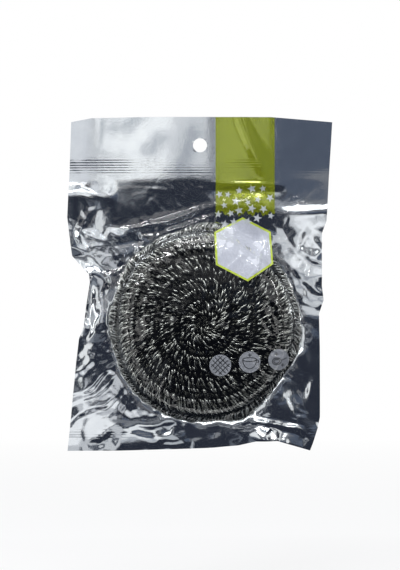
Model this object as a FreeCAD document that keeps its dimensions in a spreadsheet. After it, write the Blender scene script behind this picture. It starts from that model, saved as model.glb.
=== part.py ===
"""Pot scrubber in its hang-sell pouch, as one parametric document in millimetres.

The scrubber is a round pad of curled flat steel wire. Four wires run side by side
as one rope, which is wound into four rings, and each is joined end to end from an
eye, a middle and a rim strand. The pad lies sealed between a clear front film and
a metallised back film. The origin is the centre of the hang hole on the plane where
the films are sealed together. X runs to the right, Z up, and the front faces -Y.
"""
import FreeCAD, Part
import bisect
import math
import os

import Sketcher
from FreeCAD import Placement, Rotation, Vector

SIZES = {
    "pad_diameter": 104.0,
    "pad_offset": 2.5,
    "eye_diameter": 8.0,
    "rim_radius": 12.5,
    "crown_rise": 4.5,
    "wire_width": 1.3,
    "wire_thickness": 0.65,
    "ring_gap": 1.0,
    "curl_pitch": 29.0,
    "strand_break": 2.4,
    "film_gap": 0.3,
    "film_thickness": 0.2,
    "foot_reach": 2.6,
    "foot_height": 1.0,
    "hole_diameter": 8.0,
    "hole_drop": 16.3,
    "header_height": 35.0,
    "corner_drop": 2.5,
    "top_reach": 31.3,
    "side_reach": 9.5,
    "bottom_reach": 4.0,
    "side_seal": 4.5,
    "bottom_seal": 15.3,
    "seam_corner": 16.0,
    "shoulder_drop": 22.3,
    "waist_drop": 60.5,
    "top_left_flare": 10.5,
    "left_shoulder_flare": 12.0,
    "bottom_left_flare": 12.0,
    "top_right_flare": 7.0,
    "right_shoulder_flare": 4.5,
    "bottom_right_inset": 6.0,
    "bottom_corner_drop": 1.0,
    "dip_offset": 35.5,
    "dip_rise": 4.8,
    "rib_width": 0.9,
    "rib_height": 0.15,
    "rib_span": 6.0,
    "rib_inset": 2.5,
    "top_rib_drop": 9.0,
    "bottom_rib_drop": 2.0,
}

# Four rings of rope, four wires in the rope, five ribs in each seal.
ROPE_TURNS = 4
ROPE_WIRES = 4
SEAL_RIBS = 5

# Share of a turn in which the rope steps out to the next ring.
STEP_SHARE = 0.25
# Shares of the rope's length where its wires are joined end to end, and the
# share by which each next wire is joined later than the one beside it.
JOIN_SHARES = (0.20, 0.55)
JOIN_STEP_SHARE = 0.07
ZONES = ("eye", "middle", "rim")

FULL_TURN = 360.0

# Samples for the rope's length and for the room that a curl has.
PATH_SAMPLES = 2400
ROOM_SAMPLES = 48
# Share of a curl over which a wire's direction is taken.
NEAR_SHARE = 0.0007
# Corners of the flat wire's section, as shares of its half width and thickness.
SECTION_SHARES = ((-1, -1), (1, -1), (1, 1), (-1, 1))
# Points of a wire nearer than this count along it aren't a gap to itself.
OWN_POINTS = 6


def sheet_cells(document):
    """Write the driving sizes into the document's sheet, one named cell each."""
    sheet = document.addObject("Spreadsheet::Sheet", "Sizes")
    for row, (name, value) in enumerate(SIZES.items(), start=1):
        sheet.set(f"A{row}", name)
        sheet.set(f"B{row}", str(value))
        sheet.setAlias(f"B{row}", name)
    document.recompute()
    return sheet


document = FreeCAD.newDocument("pot_scrubber")
sheet = sheet_cells(document)


def size(name):
    """Value of one driving size, read from the sheet."""
    return float(getattr(sheet, name))


def value(text):
    """Value of an expression over the sheet's sizes."""
    return float(sheet.evalExpression(text))


# Places that several pieces share, as expressions over the sheet.
PAD_RADIUS = "(Sizes.pad_diameter / 2)"
PAD_X = "Sizes.pad_offset"
HEADER_SEAM = "(Sizes.hole_drop - Sizes.header_height)"
PAD_Z = f"({HEADER_SEAM} - Sizes.top_reach - {PAD_RADIUS})"
BOTTOM_SEAM = f"({PAD_Z} - {PAD_RADIUS} - Sizes.bottom_reach)"
BOTTOM_EDGE = f"({BOTTOM_SEAM} - Sizes.bottom_seal)"
LEFT_SEAM = f"({PAD_X} - {PAD_RADIUS} - Sizes.side_reach)"
RIGHT_SEAM = f"({PAD_X} + {PAD_RADIUS} + Sizes.side_reach)"
LEFT_WAIST = f"({LEFT_SEAM} - Sizes.side_seal)"
RIGHT_WAIST = f"({RIGHT_SEAM} + Sizes.side_seal)"
TOP_CORNER = "(Sizes.hole_drop - Sizes.corner_drop)"

# The film's bulge: a crown over a rounded shoulder, drawn in steeply to a foot close round the pad.
SHOULDER_CENTRE = f"({PAD_RADIUS} - Sizes.rim_radius)"
SHOULDER_RADIUS = "(Sizes.rim_radius + Sizes.film_gap)"
CROWN_HEIGHT = "(Sizes.rim_radius + Sizes.crown_rise + Sizes.film_gap)"
FOOT_RADIUS = f"({PAD_RADIUS} + Sizes.foot_reach)"
FOOT_HEIGHT = "Sizes.foot_height"
FOOT_SPAN = f"({FOOT_RADIUS} - {SHOULDER_CENTRE})"
FOOT_DISTANCE = f"sqrt({FOOT_SPAN} ^ 2 + {FOOT_HEIGHT} ^ 2)"
SLOPE_ANGLE = f"(acos({SHOULDER_RADIUS} / {FOOT_DISTANCE}) + atan({FOOT_HEIGHT} / {FOOT_SPAN}))"
SLOPE_RADIUS = f"({SHOULDER_CENTRE} + {SHOULDER_RADIUS} * cos({SLOPE_ANGLE}))"
SLOPE_HEIGHT = f"({SHOULDER_RADIUS} * sin({SLOPE_ANGLE}))"

# Corners of the pouch's outline, clockwise from the top right one.
SHOULDER_Z = f"({HEADER_SEAM} - Sizes.shoulder_drop)"
TOP_RIGHT_X = f"({RIGHT_WAIST} + Sizes.top_right_flare)"
TOP_LEFT_X = f"({LEFT_WAIST} - Sizes.top_left_flare)"
BOTTOM_RIGHT_X = f"({RIGHT_WAIST} - Sizes.bottom_right_inset)"
BOTTOM_LEFT_X = f"({LEFT_WAIST} - Sizes.bottom_left_flare)"
OUTLINE = (
    (TOP_RIGHT_X, TOP_CORNER),
    (f"{RIGHT_WAIST} + Sizes.right_shoulder_flare", SHOULDER_Z),
    (RIGHT_WAIST, PAD_Z),
    (RIGHT_WAIST, BOTTOM_SEAM),
    (BOTTOM_RIGHT_X, BOTTOM_EDGE),
    (f"{PAD_X} + Sizes.dip_offset", f"{BOTTOM_EDGE} + Sizes.dip_rise"),
    (PAD_X, BOTTOM_EDGE),
    (BOTTOM_LEFT_X, f"{BOTTOM_EDGE} - Sizes.bottom_corner_drop"),
    (LEFT_WAIST, f"{HEADER_SEAM} - Sizes.waist_drop"),
    (f"{LEFT_WAIST} - Sizes.left_shoulder_flare", SHOULDER_Z),
    (TOP_LEFT_X, TOP_CORNER),
)

# Points of a sketch edge, as constraints count them.
START, END, CENTRE = range(1, 4)


def new_sketch(body, plane, label):
    """Empty sketch on one of a body's origin planes."""
    sketch = body.newObject("Sketcher::SketchObject", label)
    support = [item for item in body.Origin.OriginFeatures if item.Role == plane][0]
    sketch.AttachmentSupport = [(support, "")]
    sketch.MapMode = "FlatFace"
    return sketch


def spot(across, along):
    """Sketch point at two expressions."""
    return Vector(value(across), value(along), 0)


def bind(sketch, kind, *where, text):
    """Add one dimension to a sketch and bind it to an expression."""
    index = sketch.addConstraint(Sketcher.Constraint(kind, *where, value(text)))
    sketch.setExpression(f"Constraints[{index}]", text)


def bind_spot(sketch, edge, end, across, along):
    """Bind one point of a sketch edge to two expressions."""
    bind(sketch, "DistanceX", edge, end, text=across)
    bind(sketch, "DistanceY", edge, end, text=along)


def end_at(sketch, edge, place):
    """Which end of a sketch edge lies at a place."""
    curve = sketch.Geometry[edge]
    to_start = curve.StartPoint.distanceToPoint(place)
    to_end = curve.EndPoint.distanceToPoint(place)
    return START if to_start < to_end else END


def draw_loop(sketch, curves, places, kinds):
    """Closed loop of curves; each meets the next at its place by its kind of joint."""
    edges = [sketch.addGeometry(curve, False) for curve in curves]
    for edge, place, kind in zip(edges, places, kinds):
        after = edges[(edge + 1) % len(edges)]
        ends = (edge, end_at(sketch, edge, place), after, end_at(sketch, after, place))
        sketch.addConstraint(Sketcher.Constraint(kind, *ends))
    return edges


def draw_outline(sketch):
    """Flat outline of the pouch: straight cut edges, a crowned top and the hang hole."""
    corners = [spot(*pair) for pair in OUTLINE]
    crown = Vector(0, size("hole_drop"), 0)
    curves = [Part.LineSegment(*pair) for pair in zip(corners, corners[1:])]
    curves.append(Part.Arc(corners[0], crown, corners[-1]))
    places = corners[1:] + corners[:1]
    edges = draw_loop(sketch, curves, places, ["Coincident"] * len(curves))
    for edge, pair in zip(edges, OUTLINE):
        end = end_at(sketch, edge, spot(*pair))
        bind_spot(sketch, edge, end, *pair)
    width = f"({TOP_RIGHT_X} - {TOP_LEFT_X})"
    radius = f"({width} ^ 2 / 4 + Sizes.corner_drop ^ 2) / (2 * Sizes.corner_drop)"
    bind(sketch, "Radius", edges[-1], text=radius)
    hole = Part.Circle(Vector(0, 0, 0), Vector(0, 0, 1), size("hole_diameter") / 2)
    hole_edge = sketch.addGeometry(hole, False)
    sketch.addConstraint(Sketcher.Constraint("Coincident", hole_edge, CENTRE, -1, START))
    bind(sketch, "Diameter", hole_edge, text="Sizes.hole_diameter")


def draw_seam(sketch):
    """Rounded rectangle where the two films part, inside the seals."""
    left, right = value(LEFT_SEAM), value(RIGHT_SEAM)
    bottom, top = value(BOTTOM_SEAM), value(HEADER_SEAM)
    radius = size("seam_corner")
    hubs = (
        Vector(right - radius, top - radius, 0),
        Vector(left + radius, top - radius, 0),
        Vector(left + radius, bottom + radius, 0),
        Vector(right - radius, bottom + radius, 0),
    )
    quarter = math.pi / 2
    arcs = []
    for turn, hub in enumerate(hubs):
        circle = Part.Circle(hub, Vector(0, 0, 1), radius)
        arcs.append(Part.ArcOfCircle(circle, turn * quarter, (turn + 1) * quarter))
    curves = []
    places = []
    for arc, after in zip(arcs, arcs[1:] + arcs[:1]):
        curves += [arc, Part.LineSegment(arc.EndPoint, after.StartPoint)]
        places += [arc.EndPoint, after.StartPoint]
    edges = draw_loop(sketch, curves, places, ["Tangent"] * len(curves))
    corner_edges = edges[0::2]
    top_edge, left_edge, bottom_edge, right_edge = edges[1::2]
    for edge in corner_edges[1:]:
        sketch.addConstraint(Sketcher.Constraint("Equal", corner_edges[0], edge))
    sketch.addConstraint(Sketcher.Constraint("Horizontal", top_edge))
    sketch.addConstraint(Sketcher.Constraint("Horizontal", bottom_edge))
    sketch.addConstraint(Sketcher.Constraint("Vertical", left_edge))
    sketch.addConstraint(Sketcher.Constraint("Vertical", right_edge))
    bind(sketch, "Radius", corner_edges[0], text="Sizes.seam_corner")
    bind(sketch, "DistanceY", top_edge, START, text=HEADER_SEAM)
    bind(sketch, "DistanceX", left_edge, START, text=LEFT_SEAM)
    bind(sketch, "DistanceY", bottom_edge, START, text=BOTTOM_SEAM)
    bind(sketch, "DistanceX", right_edge, START, text=RIGHT_SEAM)


def draw_ring(sketch):
    """Circle at the foot of the bulge, where the low slope to the seam begins."""
    circle = Part.Circle(spot(PAD_X, PAD_Z), Vector(0, 0, 1), value(FOOT_RADIUS))
    edge = sketch.addGeometry(circle, False)
    bind_spot(sketch, edge, CENTRE, PAD_X, PAD_Z)
    bind(sketch, "Radius", edge, text=FOOT_RADIUS)


def arc_about(hub, first, last):
    """Short arc about a hub between two points, drawn anticlockwise."""
    if (first - hub).cross(last - hub).z < 0:
        first, last = last, first
    way = (first - hub) + (last - hub)
    return Part.Arc(first, hub + way.normalize() * (first - hub).Length, last)


def draw_crown(sketch, shift):
    """Half profile of the bulge above its foot, with heights along the sketch's -X."""
    base = f"({FOOT_HEIGHT} + {shift})"
    apex = f"({CROWN_HEIGHT} + {shift})"
    shoulder = value(SHOULDER_RADIUS)
    hub = Vector(-value(shift), value(SHOULDER_CENTRE), 0)
    rise = value(CROWN_HEIGHT) - shoulder
    crown_radius = (rise * rise + hub.y * hub.y) / (2 * rise) + shoulder
    crown_hub = Vector(crown_radius - value(apex), 0, 0)
    touch = hub + (hub - crown_hub).normalize() * shoulder
    peak = Vector(-value(apex), 0, 0)
    foot = Vector(-value(base), 0, 0)
    ring = Vector(-value(base), value(FOOT_RADIUS), 0)
    slope = Vector(-value(f"{SLOPE_HEIGHT} + {shift}"), value(SLOPE_RADIUS), 0)
    curves = (
        Part.LineSegment(peak, foot),
        Part.LineSegment(foot, ring),
        Part.LineSegment(ring, slope),
        arc_about(hub, slope, touch),
        arc_about(crown_hub, touch, peak),
    )
    kinds = ("Coincident", "Coincident", "Tangent", "Tangent", "Coincident")
    edges = draw_loop(sketch, curves, (foot, ring, slope, touch, peak), kinds)
    axis, base_line, slope_line, shoulder_arc, crown_arc = edges
    for edge, end in ((axis, START), (axis, END), (crown_arc, CENTRE)):
        sketch.addConstraint(Sketcher.Constraint("PointOnObject", edge, end, -1))
    sketch.addConstraint(Sketcher.Constraint("Vertical", base_line))
    bind(sketch, "DistanceX", axis, START, text=f"-{apex}")
    bind(sketch, "DistanceX", axis, END, text=f"-{base}")
    bind(sketch, "DistanceY", slope_line, START, text=FOOT_RADIUS)
    bind_spot(sketch, shoulder_arc, CENTRE, f"-({shift})", SHOULDER_CENTRE)
    bind(sketch, "Radius", shoulder_arc, text=SHOULDER_RADIUS)


def draw_rib(sketch, left, right, height):
    """One pressed rib of a seal, from a left to a right end, hung from a height."""
    low = f"{height} - Sizes.rib_width"
    corners = [(left, height), (right, height), (right, low), (left, low)]
    places = [spot(*pair) for pair in corners]
    places_after = places[1:] + places[:1]
    curves = [Part.LineSegment(*pair) for pair in zip(places, places_after)]
    edges = draw_loop(sketch, curves, places_after, ["Coincident"] * len(curves))
    for edge, pair in zip(edges, corners):
        bind_spot(sketch, edge, START, *pair)


def add_loft(body, kind, label, low, high):
    """Low slope of the film from the seam at one height to the foot of the bulge at another."""
    sections = []
    for draw, name, height in ((draw_seam, "seam", low), (draw_ring, "ring", high)):
        sketch = new_sketch(body, "XZ_Plane", f"{label}_{name}")
        sketch.setExpression("AttachmentOffset.Base.z", height)
        draw(sketch)
        sections.append(sketch)
    loft = body.newObject(kind, label)
    loft.Profile = sections[0]
    loft.Sections = sections[1:]
    loft.Ruled = True
    document.recompute()


def add_crown(body, kind, label, shift):
    """Crown of the bulge, turned about the pad's axis."""
    sketch = new_sketch(body, "YZ_Plane", f"{label}_profile")
    sketch.setExpression("AttachmentOffset.Base.y", PAD_Z)
    sketch.setExpression("AttachmentOffset.Base.z", PAD_X)
    draw_crown(sketch, shift)
    turned = body.newObject(kind, label)
    turned.Profile = sketch
    turned.ReferenceAxis = (sketch, ["H_Axis"])
    turned.Angle = FULL_TURN
    document.recompute()


def add_ribs(body, label, left, right, height):
    """Row of pressed ribs across one seal, on the outer face of the film."""
    sketch = new_sketch(body, "XZ_Plane", f"{label}_outline")
    sketch.setExpression("AttachmentOffset.Base.z", "Sizes.film_thickness")
    draw_rib(sketch, left, right, height)
    rib = body.newObject("PartDesign::Pad", label)
    rib.Profile = sketch
    rib.setExpression("Length", "Sizes.rib_height")
    document.recompute()
    row = body.newObject("PartDesign::LinearPattern", f"{label}_row")
    row.Originals = [rib]
    row.Direction = (sketch, ["V_Axis"])
    row.Reversed = True
    row.setExpression("Length", "Sizes.rib_span")
    row.Occurrences = SEAL_RIBS
    body.Tip = row
    document.recompute()


def make_front_film():
    """Clear front film: flat seals, the bulge over the pad, ribs and the hang hole."""
    body = document.addObject("PartDesign::Body", "front_film")
    outline = new_sketch(body, "XZ_Plane", "film_outline")
    draw_outline(outline)
    plate = body.newObject("PartDesign::Pad", "film_plate")
    plate.Profile = outline
    plate.setExpression("Length", "Sizes.film_thickness")
    document.recompute()
    thick = "Sizes.film_thickness"
    level = "0"
    add_loft(body, "PartDesign::AdditiveLoft", "slope", thick, f"{FOOT_HEIGHT} + {thick}")
    add_crown(body, "PartDesign::Revolution", "crown", thick)
    add_loft(body, "PartDesign::SubtractiveLoft", "hollow_slope", level, FOOT_HEIGHT)
    add_crown(body, "PartDesign::Groove", "hollow_crown", level)
    top_left = f"{TOP_LEFT_X} + Sizes.rib_inset"
    top_right = f"{TOP_RIGHT_X} - Sizes.rib_inset * 2"
    add_ribs(body, "top_rib", top_left, top_right, "-Sizes.top_rib_drop")
    bottom_left = f"{BOTTOM_LEFT_X} + Sizes.rib_inset * 2"
    bottom_right = f"{BOTTOM_RIGHT_X} - Sizes.rib_inset"
    bottom_height = f"{BOTTOM_SEAM} - Sizes.bottom_rib_drop"
    add_ribs(body, "bottom_rib", bottom_left, bottom_right, bottom_height)
    return body


def make_back_film(front):
    """Metallised back film, cut and formed like the front one, mirrored at the seal plane."""
    film = document.addObject("Part::Mirroring", "back_film")
    film.Source = front
    film.Normal = Vector(0, 1, 0)
    film.Base = Vector(0, 0, 0)
    document.recompute()
    return film


class Rope:
    """Rope of curled wires, wound from the pad's eye out to its rim.

    Lengths run along the rope's centre line. The pad's axis is Y, with the pad's
    centre at zero.
    """

    def __init__(self):
        eye_radius = size("eye_diameter") / 2
        pad_radius = size("pad_diameter") / 2
        self.rim_radius = size("rim_radius")
        self.rim_hub = pad_radius - self.rim_radius
        rise = size("crown_rise")
        self.crown_radius = (rise ** 2 + self.rim_hub ** 2) / (2 * rise) + self.rim_radius
        self.crown_hub = self.rim_radius + rise - self.crown_radius
        self.wire_reach = math.hypot(size("wire_width"), size("wire_thickness")) / 2
        self.ring_pitch = (pad_radius - eye_radius) / ROPE_TURNS
        self.half_width = (self.ring_pitch - size("ring_gap")) / 2 - self.wire_reach
        self.first_radius = eye_radius + self.ring_pitch / 2
        self.curl_pitch = size("curl_pitch")
        self.angles, self.lengths = self.measure()
        self.length = self.lengths[-1]

    def ring_radius(self, angle):
        """Distance of the rope from the pad's axis at an angle of the winding."""
        ring, part = divmod(angle / (2 * math.pi), 1)
        if ring < 1:
            return self.first_radius
        step = min(part / STEP_SHARE, 1)
        return self.first_radius + self.ring_pitch * (ring - 1 + step * step * (3 - 2 * step))

    def measure(self):
        """Angles along the winding, and the rope's length up to each."""
        first = STEP_SHARE * 2 * math.pi
        last = ROPE_TURNS * 2 * math.pi
        angles = [first + (last - first) * i / PATH_SAMPLES for i in range(PATH_SAMPLES + 1)]
        lengths = [0.0]
        for before, after in zip(angles, angles[1:]):
            start, end = self.ring_radius(before), self.ring_radius(after)
            turn = (start + end) / 2 * (after - before)
            lengths.append(lengths[-1] + math.hypot(turn, end - start))
        return angles, lengths

    def angle_at(self, place):
        """Angle of the winding at a length along the rope."""
        after = bisect.bisect_right(self.lengths, place)
        after = min(max(after, 1), PATH_SAMPLES)
        low, high = self.lengths[after - 1], self.lengths[after]
        share = (place - low) / (high - low)
        return self.angles[after - 1] + share * (self.angles[after] - self.angles[after - 1])

    def room(self, radius):
        """Height that the pad's rounded form leaves a wire's centre at a radius."""
        crown = self.crown_radius - self.wire_reach
        rim = self.rim_radius - self.wire_reach
        touch = self.rim_hub * crown / (self.crown_radius - self.rim_radius)
        if radius <= touch:
            return self.crown_hub + math.sqrt(crown ** 2 - radius ** 2)
        return math.sqrt(max(rim ** 2 - (radius - self.rim_hub) ** 2, 0))

    def half_height(self, radius):
        """Half height of the tallest curl that fits the pad's form round a ring radius."""
        heights = []
        for index in range(1, ROOM_SAMPLES + 1):
            lean = math.pi / 2 * index / ROOM_SAMPLES
            heights.append(self.room(radius + self.half_width * math.cos(lean)) / math.sin(lean))
        return min(heights)

    def wire_point(self, place, wire):
        """Point of one wire's centre line at a length along the rope."""
        angle = self.angle_at(place)
        ring = self.ring_radius(angle)
        curl = 2 * math.pi * (place / self.curl_pitch + wire / ROPE_WIRES)
        out = ring + self.half_width * math.cos(curl)
        height = self.half_height(ring) * math.sin(curl)
        return Vector(out * math.cos(angle), height, out * math.sin(angle))

    def wire_way(self, place, wire):
        """Direction of one wire at a length along the rope."""
        near = self.curl_pitch * NEAR_SHARE
        way = self.wire_point(place + near, wire) - self.wire_point(place - near, wire)
        return way.normalize()


def arc_edge(start, way, end):
    """Arc that leaves a start along a way and ends at a point, and its radius."""
    chord = end - start
    lean = way.getAngle(chord)
    side = (way - chord * (way.dot(chord) / chord.dot(chord))).normalize()
    half = chord.Length / 2
    middle = (start + end) / 2 + side * (half * math.tan(lean / 2))
    return middle, half / math.sin(lean)


def biarc_edges(start, way, end, end_way):
    """Two arcs that meet smoothly, from a start and its way to an end and its way."""
    span = end - start
    along = span.dot(way + end_way)
    spread = 2 * (1 - way.dot(end_way))
    reach = (math.sqrt(along ** 2 + spread * span.dot(span)) - along) / spread
    meet = (start + end + (way - end_way) * reach) / 2
    first, first_radius = arc_edge(start, way, meet)
    last, last_radius = arc_edge(end, -end_way, meet)
    edges = [Part.Arc(start, first, meet).toShape(), Part.Arc(meet, last, end).toShape()]
    return edges, min(first_radius, last_radius)


def least_gap(wire, reach):
    """Least gap of a curled wire to itself, measured between points along it."""
    points = wire.discretize(Distance=reach)
    gaps = []
    for index, here in enumerate(points):
        for there in points[index + OWN_POINTS:]:
            gaps.append(here.distanceToPoint(there))
    return min(gaps) - 2 * reach


def make_strand(rope, zone, wire, start, stop):
    """One unbroken flat wire, curled round the rope from a start to a stop."""
    quarters = max(round((stop - start) / (rope.curl_pitch / 4)), 1)
    places = [start + (stop - start) * index / quarters for index in range(quarters + 1)]
    points = [rope.wire_point(place, wire) for place in places]
    ways = [rope.wire_way(place, wire) for place in places]
    edges = []
    radii = []
    for index in range(quarters):
        pair, radius = biarc_edges(points[index], ways[index], points[index + 1], ways[index + 1])
        edges += pair
        radii.append(radius)
    path = Part.Wire(edges)
    across = Vector(0, 1, 0).cross(ways[0]).normalize() * (size("wire_width") / 2)
    through = ways[0].cross(across).normalize() * (size("wire_thickness") / 2)
    corners = [points[0] + across * a + through * b for a, b in SECTION_SHARES]
    shell = Part.BRepOffsetAPI.MakePipeShell(path)
    shell.add(Part.makePolygon(corners + corners[:1]))
    shell.build()
    shell.makeSolid()
    strand = document.addObject("Part::Feature", f"{zone}_strand_{wire + 1}")
    strand.Shape = shell.shape()
    strand.Placement = Placement(Vector(value(PAD_X), 0, value(PAD_Z)), Rotation())
    section = size("wire_width") * size("wire_thickness")
    gap = least_gap(path, rope.wire_reach)
    print(
        f"{strand.Label}: {path.Length:.0f} mm of wire, tightest arc {min(radii):.2f} mm,"
        f" volume {strand.Shape.Volume / (section * path.Length):.4f} of section by length,"
        f" least gap to itself {gap:.2f} mm"
    )
    return strand


def make_strands():
    """All the wires of the pad: eye, middle and rim strands, end to end."""
    rope = Rope()
    strands = []
    for wire in range(ROPE_WIRES):
        late = wire * JOIN_STEP_SHARE
        joins = [0] + [rope.length * (share + late) for share in JOIN_SHARES] + [rope.length]
        for zone, start, stop in zip(ZONES, joins, joins[1:]):
            first = start + (size("strand_break") / 2 if start > 0 else 0)
            last = stop - (size("strand_break") / 2 if stop < rope.length else 0)
            strands.append(make_strand(rope, zone, wire, first, last))
    return strands


def check_and_export(pieces):
    """Stop at any failed object or bad shape, then write each piece to its file."""
    document.recompute()
    failed = [item.Label for item in document.Objects if {"Invalid", "Error"} & set(item.State)]
    if failed:
        raise ValueError(f"failed objects: {failed}")
    for piece in pieces:
        if piece.Shape.isNull() or not piece.Shape.isValid() or len(piece.Shape.Solids) != 1:
            raise ValueError(f"{piece.Label} is not one valid solid")
    os.makedirs("parts", exist_ok=True)
    for piece in pieces:
        piece.Shape.exportStep(f"parts/{piece.Label}.step")


front_film = make_front_film()
back_film = make_back_film(front_film)
check_and_export([front_film, back_film] + make_strands())
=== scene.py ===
"""Looks of a steel wire pot scrubber sealed in its hang-sell pouch.

The pouch is a clear, partly printed front film and a metallised back film, drawn in
and creased round a pad of curled flat wire. Heights and places are worked out in
millimetres on the pouch's own plane, with X to the right and Z up, and turned to
metres where a mesh is made. The front of the pouch faces -Y.
"""
import logging
import math
from collections.abc import Iterable
from dataclasses import dataclass, field
from enum import Enum
from typing import NamedTuple

import bpy
import numpy as np
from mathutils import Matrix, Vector, geometry


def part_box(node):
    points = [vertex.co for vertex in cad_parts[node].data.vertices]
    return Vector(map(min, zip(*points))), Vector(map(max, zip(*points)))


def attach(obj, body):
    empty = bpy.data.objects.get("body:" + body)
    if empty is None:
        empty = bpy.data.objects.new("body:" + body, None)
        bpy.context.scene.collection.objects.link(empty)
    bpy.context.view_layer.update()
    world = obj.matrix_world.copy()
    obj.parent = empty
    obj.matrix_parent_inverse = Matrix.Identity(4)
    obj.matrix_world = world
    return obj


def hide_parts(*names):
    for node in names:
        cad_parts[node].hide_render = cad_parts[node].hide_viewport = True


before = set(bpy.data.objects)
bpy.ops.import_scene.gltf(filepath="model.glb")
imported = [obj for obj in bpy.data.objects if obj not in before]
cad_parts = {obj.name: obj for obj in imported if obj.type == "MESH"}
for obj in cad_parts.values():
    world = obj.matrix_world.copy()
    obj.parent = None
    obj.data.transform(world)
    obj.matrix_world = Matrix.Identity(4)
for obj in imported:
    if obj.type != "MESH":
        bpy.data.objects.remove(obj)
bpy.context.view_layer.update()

log = logging.getLogger("scrubber")

MM = 0.001
BODY = "root"
PICTURE_SIZE = (400, 570)
# Cells of the noise, each way, before it repeats.
NOISE_CELLS = 64
# Guard against rounding and against a division by zero.
TINY = 1e-6

# A place on a plane or the two ends of a span, a row of them, and a mesh's corners and quads.
Point = tuple[float, float]
Points = tuple[Point, ...]
Mesh = tuple[np.ndarray, np.ndarray]


class Slot(Enum):
    """Names of the record's material slots, one for each finish."""

    FILM = "clear_film"
    FOIL = "metallised_film"
    WIRE = "steel_wire"


class Side(Enum):
    """Sides of the pouch, by the direction along Y in which their film faces."""

    FRONT = -1
    BACK = 1


class Sign(Enum):
    """Plain drawings on the printed discs, from left to right."""

    MESH = "mesh"
    CUP = "cup"
    PAN = "pan"


class Lay(NamedTuple):
    """Course of one wire along the rope.

    It has the wire's place across the rope as a share of the ring pitch, the shares of the
    rope's width and of the pad's height that its curls fill, how far it strays as one
    standard deviation, and the pitch of its curls.
    """

    offset_share: float
    width_share: float
    height_share: float
    stray: float
    pitch: float


class Lumps(NamedTuple):
    """Lumps of the pad under a film: their height and the number of their layout."""

    height: float
    seed: int


class Noise(NamedTuple):
    """Smooth unevenness: its height, its wavelength and its number."""

    height: float
    wavelength: float
    seed: int


class Facets(NamedTuple):
    """Flat facets between folds: mean spacing across and up, height, and number of the layout."""

    spacing: Point
    height: float
    seed: int


class Spokes(NamedTuple):
    """Long facets round the pad: how many, their height, and the number of their layout."""

    count: int
    height: float
    seed: int


class Wrinkles(NamedTuple):
    """Scattered fine creases, with the least and the greatest of each of their sizes."""

    count: int
    seed: int
    lengths: Point
    widths: Point
    heights: Point


class Crease(NamedTuple):
    """Ridge along a slightly curved line: both ends, its bend, its half width and its height."""

    x0: float
    z0: float
    x1: float
    z1: float
    bend: float
    width: float
    height: float


class Fan(NamedTuple):
    """Streaks that fan out from one place to another: the ends of its middle, spread, count and size."""

    x0: float
    z0: float
    x1: float
    z1: float
    spread: float
    count: int
    size: float


class PleatZone(NamedTuple):
    """Patch of pleats in a seal.

    It has its middle, its reach both ways, the direction across the pleats in degrees, the
    slope of their long sides, their pitch, how uneven they are, and the number of the layout.
    """

    x: float
    z: float
    reach_x: float
    reach_z: float
    angle: float
    slope: float
    pitch: float
    uneven: float
    seed: int


class Card(NamedTuple):
    """Panel or card that gloss mirrors: its name, its tone and its four corners."""

    name: str
    tone: str
    corners: Points


class Mat(NamedTuple):
    """Level mat that gloss mirrors: its name, its tone, its middle and its size, in metres."""

    name: str
    tone: str
    middle: Point
    size: Point


class Lamp(NamedTuple):
    """Soft lamp: its name, its azimuth, elevation and distance, its size in metres and its power."""

    name: str
    place: tuple[float, float, float]
    size: Point
    power: float


def linear(code: str) -> tuple[float, float, float, float]:
    """Turn an sRGB hex colour to linear light.

    Args:
        code: colour such as "#8a8d90".

    Returns:
        Linear red, green and blue, and an alpha of one.
    """
    shares = [int(code[i:i + 2], 16) / 255 for i in (1, 3, 5)]
    light = [c / 12.92 if c <= 0.04045 else ((c + 0.055) / 1.055) ** 2.4 for c in shares]
    return (*light, 1.0)


def node(
    tree: bpy.types.NodeTree, kind: str, links: dict | None = None, sockets: dict | None = None,
    **settings: object,
) -> bpy.types.Node:
    """Add a shader node with its settings, socket values and links.

    Args:
        tree: node tree that takes the node.
        kind: the node's type name.
        links: input name or index to the output that feeds it.
        sockets: input name or index to its value.
        settings: the node's own properties.

    Returns:
        The node.
    """
    made = tree.nodes.new(kind)
    for name, value in settings.items():
        setattr(made, name, value)
    for name, value in (sockets or {}).items():
        made.inputs[name].default_value = value
    for name, source in (links or {}).items():
        tree.links.new(source, made.inputs[name])
    return made


def new_material(name: str) -> tuple[bpy.types.Material, bpy.types.NodeTree, bpy.types.Node]:
    """Empty node material.

    Args:
        name: the material's name.

    Returns:
        The material, its node tree and its output node.
    """
    material = bpy.data.materials.new(name)
    material.use_nodes = True
    material.node_tree.nodes.clear()
    output = node(material.node_tree, "ShaderNodeOutputMaterial")
    return material, material.node_tree, output


def per_metre(wavelength_mm: float) -> float:
    """Noise scale, in features per metre, for a feature size in millimetres."""
    return 1.0 / (wavelength_mm * MM)


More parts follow.
